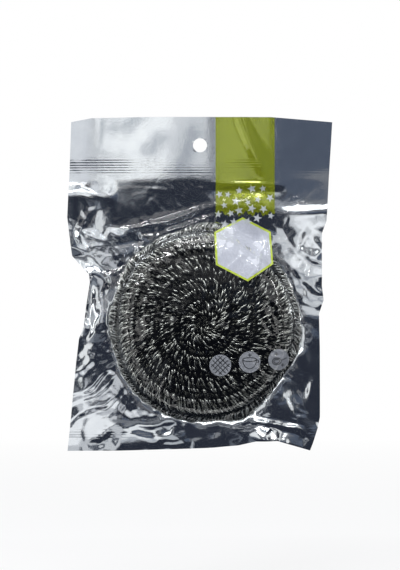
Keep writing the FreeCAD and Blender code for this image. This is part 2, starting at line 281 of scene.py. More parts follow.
@dataclass(frozen=True)
class ClearFilm:
    """Clear polypropylene film, cast on a polished roll and glossy on both faces.

    It shows what lies behind it and lays a sharp glare over it. Handling has left fine
    wrinkles, which break the glare into short streaks.
    """

    # Cast film lets nearly all light through, with hardly any tint.
    tint: str = "#f6f8f8"
    gloss: str = "#ffffff"
    roughness: float = 0.07
    # Each of the two faces mirrors about 4 % of the light that meets it squarely, and
    # more of it the flatter the light comes in.
    mirror: float = 0.08
    slant_power: float = 5.0
    # Handling wrinkles, at their real spacing and depth.
    ripple_mm: float = 2.6
    ripple_depth_mm: float = 0.03

    def material(self) -> bpy.types.Material:
        """Mix of clear film and glare by the film's reflectance.

        Returns:
            The material.
        """
        material, tree, output = new_material("clear_polypropylene_film")
        place = node(tree, "ShaderNodeTexCoord")
        ripple = node(
            tree, "ShaderNodeTexNoise", {"Vector": place.outputs["Object"]},
            {"Scale": per_metre(self.ripple_mm), "Detail": 2.0, "Distortion": 0.6},
        )
        bump = node(
            tree, "ShaderNodeBump", {"Height": ripple.outputs["Fac"]},
            {"Strength": 1.0, "Distance": self.ripple_depth_mm * MM},
        )
        # With a blend of 0.5, Facing is one less the cosine of the slant.
        slant = node(
            tree, "ShaderNodeLayerWeight", {"Normal": bump.outputs["Normal"]}, {"Blend": 0.5}
        )
        steep = node(
            tree, "ShaderNodeMath", {0: slant.outputs["Facing"]}, {1: self.slant_power},
            operation="POWER",
        )
        share = node(
            tree, "ShaderNodeMath", {0: steep.outputs["Value"]},
            {1: 1.0 - self.mirror, 2: self.mirror}, operation="MULTIPLY_ADD", use_clamp=True,
        )
        clear = node(tree, "ShaderNodeBsdfTransparent", None, {"Color": linear(self.tint)})
        gloss = node(
            tree, "ShaderNodeBsdfGlossy", {"Normal": bump.outputs["Normal"]},
            {"Color": linear(self.gloss), "Roughness": self.roughness},
        )
        mix = node(
            tree, "ShaderNodeMixShader",
            {"Fac": share.outputs["Value"], 1: clear.outputs["BSDF"], 2: gloss.outputs["BSDF"]},
        )
        tree.links.new(mix.outputs["Shader"], output.inputs["Surface"])
        return material


@dataclass(frozen=True)
class MetallisedFilm:
    """Polyester film with aluminium laid on it in a vacuum: a bright mirror that is never flat.

    Its fine grain and its slack break what it mirrors into soft, mottled patches.
    """

    silver: str = "#f3f4f6"
    dull: str = "#e2e4e9"
    roughness: float = 0.085
    # The real grain is about 0.3 mm across. It is drawn coarser, so that it shows.
    mottle_mm: float = 1.0
    mottle_depth_mm: float = 0.026
    # Slack of the film between its folds, at its real size.
    wave_mm: float = 7.0
    wave_depth_mm: float = 0.05

    def material(self) -> bpy.types.Material:
        """Mirror-like metal whose waviness breaks up what it reflects.

        Returns:
            The material.
        """
        material, tree, output = new_material("vacuum_metallised_film")
        place = node(tree, "ShaderNodeTexCoord")
        mottle = node(
            tree, "ShaderNodeTexNoise", {"Vector": place.outputs["Object"]},
            {"Scale": per_metre(self.mottle_mm), "Detail": 3.0, "Roughness": 0.6},
        )
        wave = node(
            tree, "ShaderNodeTexNoise", {"Vector": place.outputs["Object"]},
            {"Scale": per_metre(self.wave_mm), "Detail": 1.0},
        )
        broad = node(
            tree, "ShaderNodeBump", {"Height": wave.outputs["Fac"]},
            {"Strength": 1.0, "Distance": self.wave_depth_mm * MM},
        )
        fine = node(
            tree, "ShaderNodeBump",
            {"Height": mottle.outputs["Fac"], "Normal": broad.outputs["Normal"]},
            {"Strength": 1.0, "Distance": self.mottle_depth_mm * MM},
        )
        colour = node(
            tree, "ShaderNodeMix", {0: wave.outputs["Fac"]},
            {6: linear(self.silver), 7: linear(self.dull)}, data_type="RGBA",
        )
        metal = node(
            tree, "ShaderNodeBsdfPrincipled",
            {"Base Color": colour.outputs[2], "Normal": fine.outputs["Normal"]},
            {"Metallic": 1.0, "Roughness": self.roughness},
        )
        tree.links.new(metal.outputs["BSDF"], output.inputs["Surface"])
        return material


@dataclass(frozen=True)
class SteelWire:
    """Mild steel wire, drawn and then rolled flat.

    Its colour is painted darker deep inside the pad and lighter at the crests at the pad's surface: painted
    shade by depth.
    Along the wire its tone changes at random in short lengths.
    """

    # Painted shade: the dark tone that the wires deep inside the pad take.
    deep_shade: str = "#50504b"
    dark: str = "#b6b6af"
    bright: str = "#f6f6f0"
    roughness: float = 0.31
    # Rubbed lengths, at their real size, and the span of the noise from dark to bright.
    patch_mm: float = 3.5
    patch_span: Point = (0.40, 0.72)

    def material(self) -> bpy.types.Material:
        """Metal painted dark deep in the pad, as painted shade, and in short patches of random tone at its
        surface.

        Returns:
            The material.
        """
        material, tree, output = new_material("drawn_flat_steel_wire")
        place = node(tree, "ShaderNodeTexCoord")
        patch = node(
            tree, "ShaderNodeTexNoise", {"Vector": place.outputs["Object"]},
            {"Scale": per_metre(self.patch_mm), "Detail": 2.0},
        )
        ramp = node(tree, "ShaderNodeValToRGB", {"Fac": patch.outputs["Fac"]})
        for stop, share, tone in zip(ramp.color_ramp.elements, self.patch_span, (self.dark, self.bright)):
            stop.position = share
            stop.color = linear(tone)
        # Painted shade by depth: one at the pad's surface, down to zero for the wires deep inside, which
        # take the dark tone.
        depth_light = node(tree, "ShaderNodeAttribute", attribute_name="depth_light")
        colour = node(
            tree, "ShaderNodeMix", {0: depth_light.outputs["Fac"], 7: ramp.outputs["Color"]},
            {6: linear(self.deep_shade)}, data_type="RGBA",
        )
        metal = node(
            tree, "ShaderNodeBsdfPrincipled", {"Base Color": colour.outputs[2]},
            {"Metallic": 1.0, "Roughness": self.roughness},
        )
        tree.links.new(metal.outputs["BSDF"], output.inputs["Surface"])
        return material


@dataclass(frozen=True)
class Ink:
    """Flexographic ink on the inside of the clear film: flat, opaque colour, thinner in its cells."""

    name: str
    colour: str
    thin: str
    roughness: float = 0.5
    # Real print cells are about 0.1 mm across. They are drawn coarser, so that they show.
    cell_mm: float = 0.9
    cell_span: Point = (0.35, 0.65)

    def material(self) -> bpy.types.Material:
        """Matt ink that is a little thinner in its print cells.

        Returns:
            The material.
        """
        material, tree, output = new_material(self.name)
        place = node(tree, "ShaderNodeTexCoord")
        cells = node(
            tree, "ShaderNodeTexNoise", {"Vector": place.outputs["Object"]},
            {"Scale": per_metre(self.cell_mm), "Detail": 2.0},
        )
        ramp = node(tree, "ShaderNodeValToRGB", {"Fac": cells.outputs["Fac"]})
        for stop, share, tone in zip(ramp.color_ramp.elements, self.cell_span, (self.thin, self.colour)):
            stop.position = share
            stop.color = linear(tone)
        ink = node(
            tree, "ShaderNodeBsdfPrincipled", {"Base Color": ramp.outputs["Color"]},
            {"Roughness": self.roughness},
        )
        tree.links.new(ink.outputs["BSDF"], output.inputs["Surface"])
        return material


@dataclass(frozen=True)
class GlassyInk:
    """Transparent lime ink on the clear film: the foil behind shines through it in its colour."""

    name: str = "transparent_lime_ink"
    colour: str = "#e8eb8a"
    body: str = "#b2bc2c"
    # Share of the ink's own body over the foil that shines through it.
    cover: float = 0.30

    def material(self) -> bpy.types.Material:
        """Colour filter with a little body of its own.

        Returns:
            The material.
        """
        material, tree, output = new_material(self.name)
        clear = node(tree, "ShaderNodeBsdfTransparent", None, {"Color": linear(self.colour)})
        body = node(tree, "ShaderNodeBsdfDiffuse", None, {"Color": linear(self.body)})
        mix = node(
            tree, "ShaderNodeMixShader", {1: clear.outputs["BSDF"], 2: body.outputs["BSDF"]},
            {"Fac": self.cover},
        )
        tree.links.new(mix.outputs["Shader"], output.inputs["Surface"])
        return material


def add_mesh(
    name: str, points: np.ndarray, quads: np.ndarray, material: bpy.types.Material, slot: Slot
) -> bpy.types.Object:
    """Make a smooth mesh object that rides on the part's body.

    Args:
        name: the piece's name.
        points: corners in millimetres, one row each.
        quads: corner numbers of each face, one row each.
        material: the finish.
        slot: the record's material slot; not used.

    Returns:
        The object.
    """
    mesh = bpy.data.meshes.new(name)
    count = len(quads)
    mesh.vertices.add(len(points))
    mesh.vertices.foreach_set("co", (points * MM).astype(np.float32).ravel())
    mesh.loops.add(4 * count)
    mesh.loops.foreach_set("vertex_index", quads.astype(np.int32).ravel())
    mesh.polygons.add(count)
    mesh.polygons.foreach_set("loop_start", np.arange(0, 4 * count, 4, dtype=np.int32))
    mesh.polygons.foreach_set("loop_total", np.full(count, 4, dtype=np.int32))
    mesh.update(calc_edges=True)
    mesh.validate()
    mesh.polygons.foreach_set("use_smooth", np.ones(len(mesh.polygons), dtype=bool))
    mesh.materials.append(material)
    piece = bpy.data.objects.new(name, mesh)
    bpy.context.scene.collection.objects.link(piece)
    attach(piece, BODY)
    log.info("%s: %d corners, %d faces", name, len(points), count)
    return piece


def grid_quads(rows: int, columns: int) -> np.ndarray:
    """Corner numbers of the quads of a grid, row by row."""
    start = (np.arange(rows - 1)[:, None] * columns + np.arange(columns - 1)[None, :]).ravel()
    return np.stack([start, start + 1, start + columns + 1, start + columns], axis=1)


def flat_bar(line: np.ndarray, wide: np.ndarray, deep: np.ndarray) -> Mesh:
    """Bar of four sides along a line, closed at both ends.

    Args:
        line: points of its middle.
        wide: half its width at each point, as a direction.
        deep: half its thickness at each point, as a direction.

    Returns:
        Its corners and its quads.
    """
    corners = [line + wide + deep, line - wide + deep, line - wide - deep, line + wide - deep]
    first = np.arange(len(line) - 1)[:, None] * 4
    quads = []
    for side in range(4):
        after = (side + 1) % 4
        ring = [first + side, first + 4 + side, first + 4 + after, first + after]
        quads.append(np.concatenate(ring, axis=1))
    end = len(line) * 4
    quads.append(np.array([[0, 1, 2, 3], [end - 1, end - 2, end - 3, end - 4]]))
    return np.stack(corners, axis=1).reshape(-1, 3), np.concatenate(quads)


def joined(meshes: list[Mesh]) -> Mesh:
    """Join meshes into one.

    Args:
        meshes: corners and quads of each mesh.

    Returns:
        Corners and quads of the whole.
    """
    bases = np.cumsum([0, *(len(points) for points, _ in meshes[:-1])])
    quads = [faces + base for (_, faces), base in zip(meshes, bases)]
    return np.concatenate([points for points, _ in meshes]), np.concatenate(quads)


def value_noise(x: np.ndarray, z: np.ndarray, wavelength: float, seed: int) -> np.ndarray:
    """Smooth noise from -1 to 1 over the pouch's plane.

    Args:
        x: places across, in millimetres.
        z: places up, in millimetres.
        wavelength: spacing of the noise's lattice, in millimetres.
        seed: number of the noise.

    Returns:
        The noise at each place.
    """
    lattice = np.random.default_rng(seed).uniform(-1, 1, (NOISE_CELLS, NOISE_CELLS))
    a, b = x / wavelength, z / wavelength
    i, j = np.floor(a).astype(int), np.floor(b).astype(int)
    u, v = a - i, b - j
    u, v = u * u * (3 - 2 * u), v * v * (3 - 2 * v)
    left, right = i % NOISE_CELLS, (i + 1) % NOISE_CELLS
    lower, upper = j % NOISE_CELLS, (j + 1) % NOISE_CELLS
    low = lattice[lower, left] * (1 - u) + lattice[lower, right] * u
    high = lattice[upper, left] * (1 - u) + lattice[upper, right] * u
    return low * (1 - v) + high * v


def unevenness(x: np.ndarray, z: np.ndarray, noises: tuple[Noise, ...], seed: int = 0) -> np.ndarray:
    """Sum of several noises at places of the pouch's plane, their numbers counted from a seed."""
    return sum(n.height * value_noise(x, z, n.wavelength, n.seed + seed) for n in noises)


def drift(chance: np.random.Generator, along: np.ndarray, size: float, spread: float) -> np.ndarray:
    """Random wander along a line, straight between its knots.

    Args:
        chance: source of the draws.
        along: lengths along the line, in rising order.
        size: spacing of the knots.
        spread: standard deviation at the knots.

    Returns:
        The wander at each length.
    """
    knots = np.arange(along[0] - size, along[-1] + 2 * size, size)
    return np.interp(along, knots, chance.normal(0, spread, len(knots)))


def smooth_step(low: float, high: float, x: np.ndarray) -> np.ndarray:
    """Smooth rise from zero at low to one at high."""
    share = np.clip((x - low) / (high - low), 0, 1)
    return share * share * (3 - 2 * share)


def edge_at(places: np.ndarray, edge: Points) -> np.ndarray:
    """Where an edge through given points lies, at places along it."""
    return np.interp(places, *zip(*edge))


def line_ends(x: float, z: float, way: float, half: float) -> tuple[float, float, float, float]:
    """Both ends of a line through a place, at an angle, by half its length."""
    across, up = half * math.cos(way), half * math.sin(way)
    return x - across, z - up, x + across, z + up


def oval(middle: Point, reach: Point, turns: np.ndarray) -> np.ndarray:
    """X and Z of the points of an oval at some turns of it, in radians."""
    return np.stack([middle[0] + reach[0] * np.cos(turns), middle[1] + reach[1] * np.sin(turns)], axis=1)


@dataclass(frozen=True)
class Raster:
    """Regular raster of heights over the pouch's plane, in millimetres."""

    left: float = -84.0
    bottom: float = -182.0
    step: float = 0.5
    columns: int = 337
    rows: int = 413
    same_corner: float = 1e-4
    edge_slack: float = TINY
    # Cells that a place keeps from the far edges, so that each has a cell beyond it.
    far_margin: float = 1.001

    def places(self) -> tuple[np.ndarray, np.ndarray]:
        """X and Z of every cell.

        Returns:
            Two arrays of rows and columns.
        """
        x = self.left + self.step * np.arange(self.columns)
        z = self.bottom + self.step * np.arange(self.rows)
        return np.meshgrid(x, z)

    def sample(self, heights: np.ndarray, x: np.ndarray, z: np.ndarray) -> np.ndarray:
        """Heights at any places, between the cells.

        Args:
            heights: one height for each cell.
            x: places across.
            z: places up.

        Returns:
            The height at each place.
        """
        a = np.clip((x - self.left) / self.step, 0, self.columns - self.far_margin)
        b = np.clip((z - self.bottom) / self.step, 0, self.rows - self.far_margin)
        i, j = a.astype(int), b.astype(int)
        u, v = a - i, b - j
        low = heights[j, i] * (1 - u) + heights[j, i + 1] * u
        high = heights[j + 1, i] * (1 - u) + heights[j + 1, i + 1] * u
        return low * (1 - v) + high * v

    def facets(self, points: np.ndarray, heights: np.ndarray) -> np.ndarray:
        """Flat facets between scattered points, as stiff film folds.

        Args:
            points: X and Z of the fold corners.
            heights: height of each corner.

        Returns:
            The height of every cell.
        """
        found = geometry.delaunay_2d_cdt([Vector(p) for p in points], [], [], 0, self.same_corner)
        corners, faces, sources = found[0], found[2], found[3]
        level = [heights[source[0]] for source in sources]
        out = np.zeros((self.rows, self.columns))
        for face in faces:
            (ax, az), (bx, bz), (cx, cz) = [corners[i] for i in face]
            low_i = max(int((min(ax, bx, cx) - self.left) / self.step), 0)
            high_i = min(int((max(ax, bx, cx) - self.left) / self.step) + 2, self.columns)
            low_j = max(int((min(az, bz, cz) - self.bottom) / self.step), 0)
            high_j = min(int((max(az, bz, cz) - self.bottom) / self.step) + 2, self.rows)
            if low_i >= high_i or low_j >= high_j:
                continue
            x = self.left + self.step * np.arange(low_i, high_i)[None, :]
            z = self.bottom + self.step * np.arange(low_j, high_j)[:, None]
            twice = (bx - ax) * (cz - az) - (cx - ax) * (bz - az)
            p = ((x - ax) * (cz - az) - (cx - ax) * (z - az)) / twice
            q = ((bx - ax) * (z - az) - (x - ax) * (bz - az)) / twice
            inside = (p >= -self.edge_slack) & (q >= -self.edge_slack) & (p + q <= 1 + self.edge_slack)
            plane = level[face[0]] * (1 - p - q) + level[face[1]] * p + level[face[2]] * q
            out[low_j:high_j, low_i:high_i][inside] = plane[inside]
        return out


def soften(heights: np.ndarray, cells: int) -> np.ndarray:
    """Round off creases by a running mean, taken twice.

    Args:
        heights: one height for each cell.
        cells: cells on each side that the mean takes in.

    Returns:
        The softened heights.
    """
    kernel = np.ones(2 * cells + 1) / (2 * cells + 1)
    for _ in range(2):
        for axis in (0, 1):
            padded = np.pad(heights, [(cells, cells) if a == axis else (0, 0) for a in (0, 1)], "edge")
            heights = np.apply_along_axis(np.convolve, axis, padded, kernel, "valid")
    return heights


@dataclass
class WirePad:
    """Pad of curled flat wire, wound as a rope of wires in rings round an eye.

    Each strand is drawn with several finer wires than its solid has, along the same rope.
    """

    rings: int = 4
    wires: int = 4
    zones: tuple[str, ...] = ("eye", "middle", "rim")
    eye_radius: float = 4.0
    rim_radius: float = 12.5
    crown_rise: float = 4.5
    ring_gap: float = 0.3
    step_share: float = 0.25
    start_share: float = 0.6
    end_share: float = 0.24
    join_shares: Point = (0.20, 0.55)
    join_step_share: float = 0.07
    rope_points: int = 4401
    ribbon_width: float = 0.72
    ribbon_thickness: float = 0.12
    curl_sides: int = 22
    least_sections: int = 8
    lays: tuple[Lay, ...] = (
        Lay(-0.25, 0.34, 0.97, 0.35, 6.4),
        Lay(0.25, 0.34, 0.97, 0.35, 6.4),
        Lay(0.0, 0.46, 0.77, 0.6, 6.4),
        Lay(-0.5, 0.46, 0.77, 0.6, 6.4),
        Lay(0.0, 0.8, 0.93, 2.4, 11.0),
    )
    # Curls are squarer than an ellipse, whose power is one.
    square_power: float = 0.72
    first_lean_share: float = 0.12
    leans: int = 24
    # Standard deviations of each wire's irregularities, and their limits.
    place_spread_share: float = 0.10
    swell_spread: float = 0.10
    least_swell: float = 0.7
    lean: float = 0.08
    lean_spread: float = 0.16
    twist_spread: float = 0.34
    stray_limits: Point = (-4.0, 0.2)
    # Shares of the radius by which the pad is pressed to two, three and five lobes, and how far
    # the three and the five are turned, in radians.
    out_of_round_shares: tuple[float, float, float] = (0.022, 0.013, 0.009)
    lobe_turns: Point = (2.0, 1.0)
    # Depths under the pad's surface down to which the wires keep their full tone, and from which they take
    # the dark tone of painted shade.
    shade_depths: Point = (0.7, 3.6)
    centre: np.ndarray = field(init=False)
    radius: float = field(init=False)
    pitch: float = field(init=False)
    half_width: float = field(init=False)
    hub: float = field(init=False)
    crown: float = field(init=False)
    peak: float = field(init=False)
    turns: np.ndarray = field(init=False)
    lengths: np.ndarray = field(init=False)

    def __post_init__(self) -> None:
        """Place the pad where its solids are, and lay out the rope."""
        boxes = [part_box(f"{zone}_strand_{wire + 1}") for zone in self.zones for wire in range(self.wires)]
        low = np.min([np.array(b[0]) for b in boxes], axis=0) / MM
        high = np.max([np.array(b[1]) for b in boxes], axis=0) / MM
        self.centre = (low + high) / 2
        self.radius = (high - low)[[0, 2]].max() / 2 + self.ring_gap
        self.pitch = (self.radius - self.eye_radius) / self.rings
        self.half_width = (self.pitch - self.ring_gap) / 2
        self.hub = self.radius - self.rim_radius
        self.crown = (self.crown_rise ** 2 + self.hub ** 2) / (2 * self.crown_rise) + self.rim_radius
        self.peak = self.rim_radius + self.crown_rise
        first, last = self.step_share - self.start_share, self.rings + self.end_share
        self.turns = np.linspace(first, last, self.rope_points)
        reach = self.ring_radius(self.turns)
        steps = np.hypot(np.diff(reach), 2 * np.pi * np.diff(self.turns) * (reach[1:] + reach[:-1]) / 2)
        self.lengths = np.concatenate([[0], np.cumsum(steps)])

    def ring_radius(self, turns: np.ndarray) -> np.ndarray:
        """Distance of the rope from the pad's axis; its ends fill the eye and keep to the rim.

        Args:
            turns: turns round the axis.

        Returns:
            The distance after each number of turns.
        """
        turns = np.where(turns >= self.rings, self.rings - TINY, turns)
        ring = np.floor(turns)
        step = smooth_step(0, self.step_share, turns - ring)
        first = self.eye_radius + self.pitch / 2
        eye = first - 0.5 * self.pitch * np.clip((self.step_share - turns) / self.start_share, 0, 1)
        return np.where(ring < 1, eye, first + self.pitch * (ring - 1 + step))

    def top(self, radius: np.ndarray) -> np.ndarray:
        """Height of the pad's rounded form above its middle plane.

        Args:
            radius: distances from the pad's axis.

        Returns:
            The height at each distance.
        """
        touch = self.hub * self.crown / (self.crown - self.rim_radius)
        crown = self.peak - self.crown + np.sqrt(np.maximum(self.crown ** 2 - radius ** 2, 0))
        rim = np.sqrt(np.maximum(self.rim_radius ** 2 - (radius - self.hub) ** 2, 0))
        return np.where(radius <= touch, crown, rim)

    def half_height(self, radius: np.ndarray, half_width: float) -> np.ndarray:
        """Half height of the tallest curl that stays in the pad's form.

        Args:
            radius: distances of the curl's middle from the pad's axis.
            half_width: half the curl's width.

        Returns:
            The half height at each distance.
        """
        lean = np.linspace(self.first_lean_share, 1, self.leans) * np.pi / 2
        out = radius[:, None] + half_width * np.cos(lean) ** self.square_power
        return (self.top(out) / np.sin(lean) ** self.square_power).min(axis=1)

    def spread(self, angle: np.ndarray) -> np.ndarray:
        """How far the pad is pressed out of round.

        Args:
            angle: angles round the pad's axis.

        Returns:
            The pressed radius at each angle, as a share of the round one.
        """
        two, three, five = self.out_of_round_shares
        turn_three, turn_five = self.lobe_turns
        three_lobes = three * np.sin(3 * angle + turn_three)
        five_lobes = five * np.sin(5 * angle + turn_five)
        return 1 - two * np.cos(2 * angle) + three_lobes + five_lobes

    def form_radius(self, x: np.ndarray, z: np.ndarray) -> np.ndarray:
        """Radius of the pad's round form that lies at a place of the pressed pad."""
        across, up = x - self.centre[0], z - self.centre[2]
        return np.hypot(across, up) / self.spread(np.arctan2(up, across))

    def depth_light(self, points: np.ndarray) -> np.ndarray:
        """How far a wire is from painted shade, by its depth under the pad's surface.

        Args:
            points: corners of the wires.

        Returns:
            One on the crests at the pad's surface, down to zero for the wires deep inside.
        """
        radius = self.form_radius(points[:, 0], points[:, 2])
        height = np.abs(points[:, 1] - self.centre[1])
        flat, round_off = self.top(radius) - height, self.rim_radius - np.hypot(radius - self.hub, height)
        return 1 - smooth_step(*self.shade_depths, np.where(radius < self.hub, flat, round_off))

    def ribbon(self, start: float, stop: float, wire: float, lay: Lay, seed: int) -> Mesh:
        """One curled flat wire along a stretch of the rope.

        Args:
            start: length along the rope where it starts.
            stop: length along the rope where it ends.
            wire: place of the wire in the curl, in curls.
            lay: its course along the rope.
            seed: number of its irregularities.

        Returns:
            Its corners and its quads.
        """
        count = max(int((stop - start) / lay.pitch * self.curl_sides), self.least_sections)
        along = np.linspace(start, stop, count)
        chance = np.random.default_rng(seed)
        place = along + drift(chance, along, lay.pitch, self.place_spread_share * lay.pitch)
        turns = np.interp(place, self.lengths, self.turns)
        angle = 2 * np.pi * turns
        ring = self.ring_radius(turns) + lay.offset_share * self.pitch
        curl = 2 * np.pi * (along / lay.pitch + wire)
        shrink = np.abs(drift(chance, along, lay.pitch / 2, self.swell_spread))
        swell = np.clip(1 - shrink, self.least_swell, 1)
        half_width = self.half_width * lay.width_share * swell
        half_height = self.half_height(ring, self.half_width * lay.width_share) * lay.height_share * swell
        across = half_width * np.sign(np.cos(curl)) * np.abs(np.cos(curl)) ** self.square_power
        up = half_height * np.sign(np.sin(curl)) * np.abs(np.sin(curl)) ** self.square_power
        lean = drift(chance, along, lay.pitch, self.lean_spread) + self.lean
        stray = np.clip(drift(chance, along, lay.pitch, lay.stray), *self.stray_limits)
        out = (ring + across + stray) * self.spread(angle)
        outward = np.stack([np.cos(angle), np.zeros(count), np.sin(angle)], axis=1)
        onward = np.stack([-np.sin(angle), np.zeros(count), np.cos(angle)], axis=1)
        axis = np.array([0.0, 1.0, 0.0])
        line = self.centre + outward * out[:, None] + axis * up[:, None] + onward * (lean * up)[:, None]
        way = np.gradient(line, axis=0)
        way /= np.linalg.norm(way, axis=1)[:, None]
        face = outward * (across / half_width ** 2)[:, None] + axis * (up / half_height ** 2)[:, None]
        side = np.cross(way, face)
        side /= np.linalg.norm(side, axis=1)[:, None]
        face = np.cross(side, way)
        twist = drift(chance, along, lay.pitch / 2, self.twist_spread)[:, None]
        wide = side * np.cos(twist) - face * np.sin(twist)
        deep = side * np.sin(twist) + face * np.cos(twist)
        return flat_bar(line, wide * (self.ribbon_width / 2), deep * (self.ribbon_thickness / 2))

    def build(self, finish: SteelWire) -> list[bpy.types.Object]:
        """Make the wires of every strand, each in the place of its solid.

        Args:
            finish: the wire's finish.

        Returns:
            The pieces.
        """
        material = finish.material()
        first, last = np.interp((self.step_share, self.rings), self.turns, self.lengths)
        pieces = []
        for wire in range(self.wires):
            shares = [share + wire * self.join_step_share for share in self.join_shares]
            joins = [0.0, *(first + (last - first) * share for share in shares), self.lengths[-1]]
            for index, zone in enumerate(self.zones):
                ribbons = []
                for number, lay in enumerate(self.lays):
                    shift = (wire + number / len(self.lays)) / self.wires
                    seed = 100 * wire + 10 * index + number
                    ribbons.append(self.ribbon(joins[index], joins[index + 1], shift, lay, seed))
                corners, quads = joined(ribbons)
                piece = add_mesh(f"{zone}_wires_{wire + 1}", corners, quads, material, Slot.WIRE)
                # Painted shade by depth: the wires deep inside the pad are drawn darker.
                mark = piece.data.attributes.new("depth_light", "FLOAT", "POINT")
                mark.data.foreach_set("value", self.depth_light(corners).astype(np.float32))
                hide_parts(f"{zone}_strand_{wire + 1}")
                pieces.append(piece)
        return pieces


@dataclass
class Pouch:
    """The two films of the pouch: their cut, their drape over the pad, and their creases."""

    pad: WirePad
    # Grid of a film before it is drawn in to the pouch's outline.
    columns: int = 262
    row_step: float = 0.6
    rib_row_step: float = 0.28
    grid_up: Point = (-175.0, 17.0)
    grid_left: float = -75.0
    grid_width: float = 150.0
    fit_rounds: int = 6
    hole_radius: float = 4.0
    hole_snap: float = 0.45
    hole_trim_share: float = 0.985
    header_seam: float = -18.7
    bottom_seam: float = -158.0
    side_seal: float = 4.5
    seal_fade: float = 9.0
    seal_wander: tuple[Noise, ...] = (Noise(3.0, 13, 23), Noise(1.6, 6, 24))
    bottom_wander_share: float = 1.4
    header_wander_share: float = 0.15
    rib_bands: Points = ((-17.0, -7.0), (-168.0, -159.5))
    rib_pitch: float = 1.45
    rib_depth: float = 0.02
    rib_fade: float = 1.0
    rib_wear: tuple[Noise, ...] = (Noise(1.0, 31, 19),)
    rib_wear_span: Point = (-0.1, 0.6)
    worn_share: float = 0.15
    # The pouch's outline: X over Z at its sides, and Z over X at its top and bottom.
    left_edge: Points = (
        (-174.3, -75.5), (-155.0, -73.6), (-123.0, -70.6), (-110.0, -69.0), (-104.0, -66.4),
        (-92.0, -65.0), (-78.0, -62.8), (-73.4, -63.2), (-68.0, -68.5), (-63.0, -73.0),
        (-41.0, -75.8), (-18.6, -74.7), (13.5, -73.6),
    )
    right_edge: Points = (
        (-174.0, 62.7), (-169.0, 64.6), (-161.0, 67.2), (-155.0, 68.4), (-115.0, 68.3), (-96.0, 67.9),
        (-88.0, 70.6), (-80.0, 69.6), (-50.0, 69.6), (-43.0, 72.2), (-18.6, 73.6), (0.0, 74.8),
        (13.6, 75.6),
    )
    top_edge: Points = ((-74.0, 13.4), (-62.0, 15.6), (-30.0, 16.2), (40.0, 16.2), (76.0, 13.4))
    bottom_edge: Points = (
        (-76.0, -174.2), (-45.0, -174.0), (-13.0, -173.2), (8.0, -172.4), (22.0, -171.0),
        (32.0, -168.6), (44.0, -168.4), (50.0, -170.2), (63.0, -174.0),
    )
    # Drape of the films over the pad.
    film_gap: float = 0.12
    film_lift: float = 0.25
    draw_in: float = 0.04
    relax_rounds: int = 260
    relax_stride: int = 2
    relax_gain: float = 1.8
    front_lumps: Lumps = Lumps(0.35, 81)
    back_lumps: Lumps = Lumps(0.8, 91)
    lump_waves: tuple[Noise, ...] = (Noise(0.5, 9, 0), Noise(0.3, 5, 1), Noise(0.2, 2.8, 2))
    close_share: float = 0.35
    close_end: float = 0.7
    # Shape of the seals, which both films share. A rise goes from its first place to its second.
    wave_start: Point = (-9.0, 5.0)
    header_bow: float = 0.00050
    header_rise: Point = (-40.0, -10.0)
    hinge_line: Points = ((-112.0, 0.0), (-47.0, 1.1), (-19.5, 0.0), (30.0, 0.0))
    broad_wave: tuple[Noise, ...] = (Noise(0.5, 40, 11),)
    ripple_reach: float = 16.0
    ripple_end: Point = (-35.0, 0.0)
    side_facets: tuple[Facets, ...] = (Facets((13, 10), 1.5, 3), Facets((6, 5), 0.5, 5))
    bottom_facets: tuple[Facets, ...] = (Facets((17, 12), 1.2, 7), Facets((7, 5.5), 0.5, 9))
    bottom_rise: Point = (-146.0, -166.0)
    dip_rise: Point = (-150.0, -166.0)
    dip_place: float = 36.0
    dip_width: float = 7.5
    dip_depth: float = 3.0
    # Stretch of the right seal that lies flatter than the rest.
    flat_side: Point = (48.0, 58.0)
    flat_start: Point = (-162.0, -150.0)
    flat_end: Point = (-100.0, -90.0)
    flat_share: float = 0.7
    # Taut areas, which crease less: the band under the header and the lower left corner.
    band_side: Point = (-60.0, -46.0)
    band_start: Point = (-52.0, -42.0)
    band_share: float = 0.9
    corner_side: Point = (-46.0, -26.0)
    corner_end: Point = (-136.0, -122.0)
    corner_share: float = 0.4
    lasting_folds: tuple[Crease, ...] = (
        Crease(21.0, 22.0, 40.0, -21.0, 1.2, 3.6, -0.62),
        Crease(34.0, -39.0, 79.0, -37.5, 1.0, 4.2, -1.26),
        Crease(-80.0, -70.0, -44.0, -75.0, 1.5, 4.4, -1.3),
        Crease(-79.0, -26.5, -47.0, -31.0, -1.0, 5.0, -0.9),
        Crease(-52.0, -74.0, -53.0, -112.0, 2.0, 4.6, -1.4),
    )
    pleat_count: int = 64
    pleat_rise_share: float = 0.74
    pleat_end: Point = (-22.5, -18.5)
    pleat_steep_share: float = 0.35
    pleat_wander: tuple[Noise, ...] = (Noise(0.8, 22, 0), Noise(0.25, 7, 50))
    pleat_loss: tuple[Noise, ...] = (Noise(1.0, 11, 60),)
    pleat_loss_share: float = 0.3
    pleat_zones: tuple[PleatZone, ...] = (
        PleatZone(-62.0, -146.0, 17.0, 25.0, 124.0, 0.14, 8.6, 0.7, 301),
        PleatZone(-35.0, -165.0, 28.0, 11.0, 104.0, 0.12, 7.4, 0.65, 302),
        PleatZone(63.0, -68.0, 11.0, 23.0, 62.0, 0.14, 9.5, 0.65, 303),
        PleatZone(26.0, -29.0, 17.0, 8.0, 88.0, 0.25, 14.5, 0.0, 304),
        PleatZone(-67.0, -90.0, 7.0, 20.0, 168.0, 0.33, 8.5, 0.7, 305),
        PleatZone(46.0, -164.0, 14.0, 10.0, 78.0, 0.24, 7.2, 0.65, 306),
    )
    # A ridge is drawn out to some of its half widths, and falls to its ends by a power.
    crease_reach_share: float = 3.0
    crease_end_power: float = 0.7
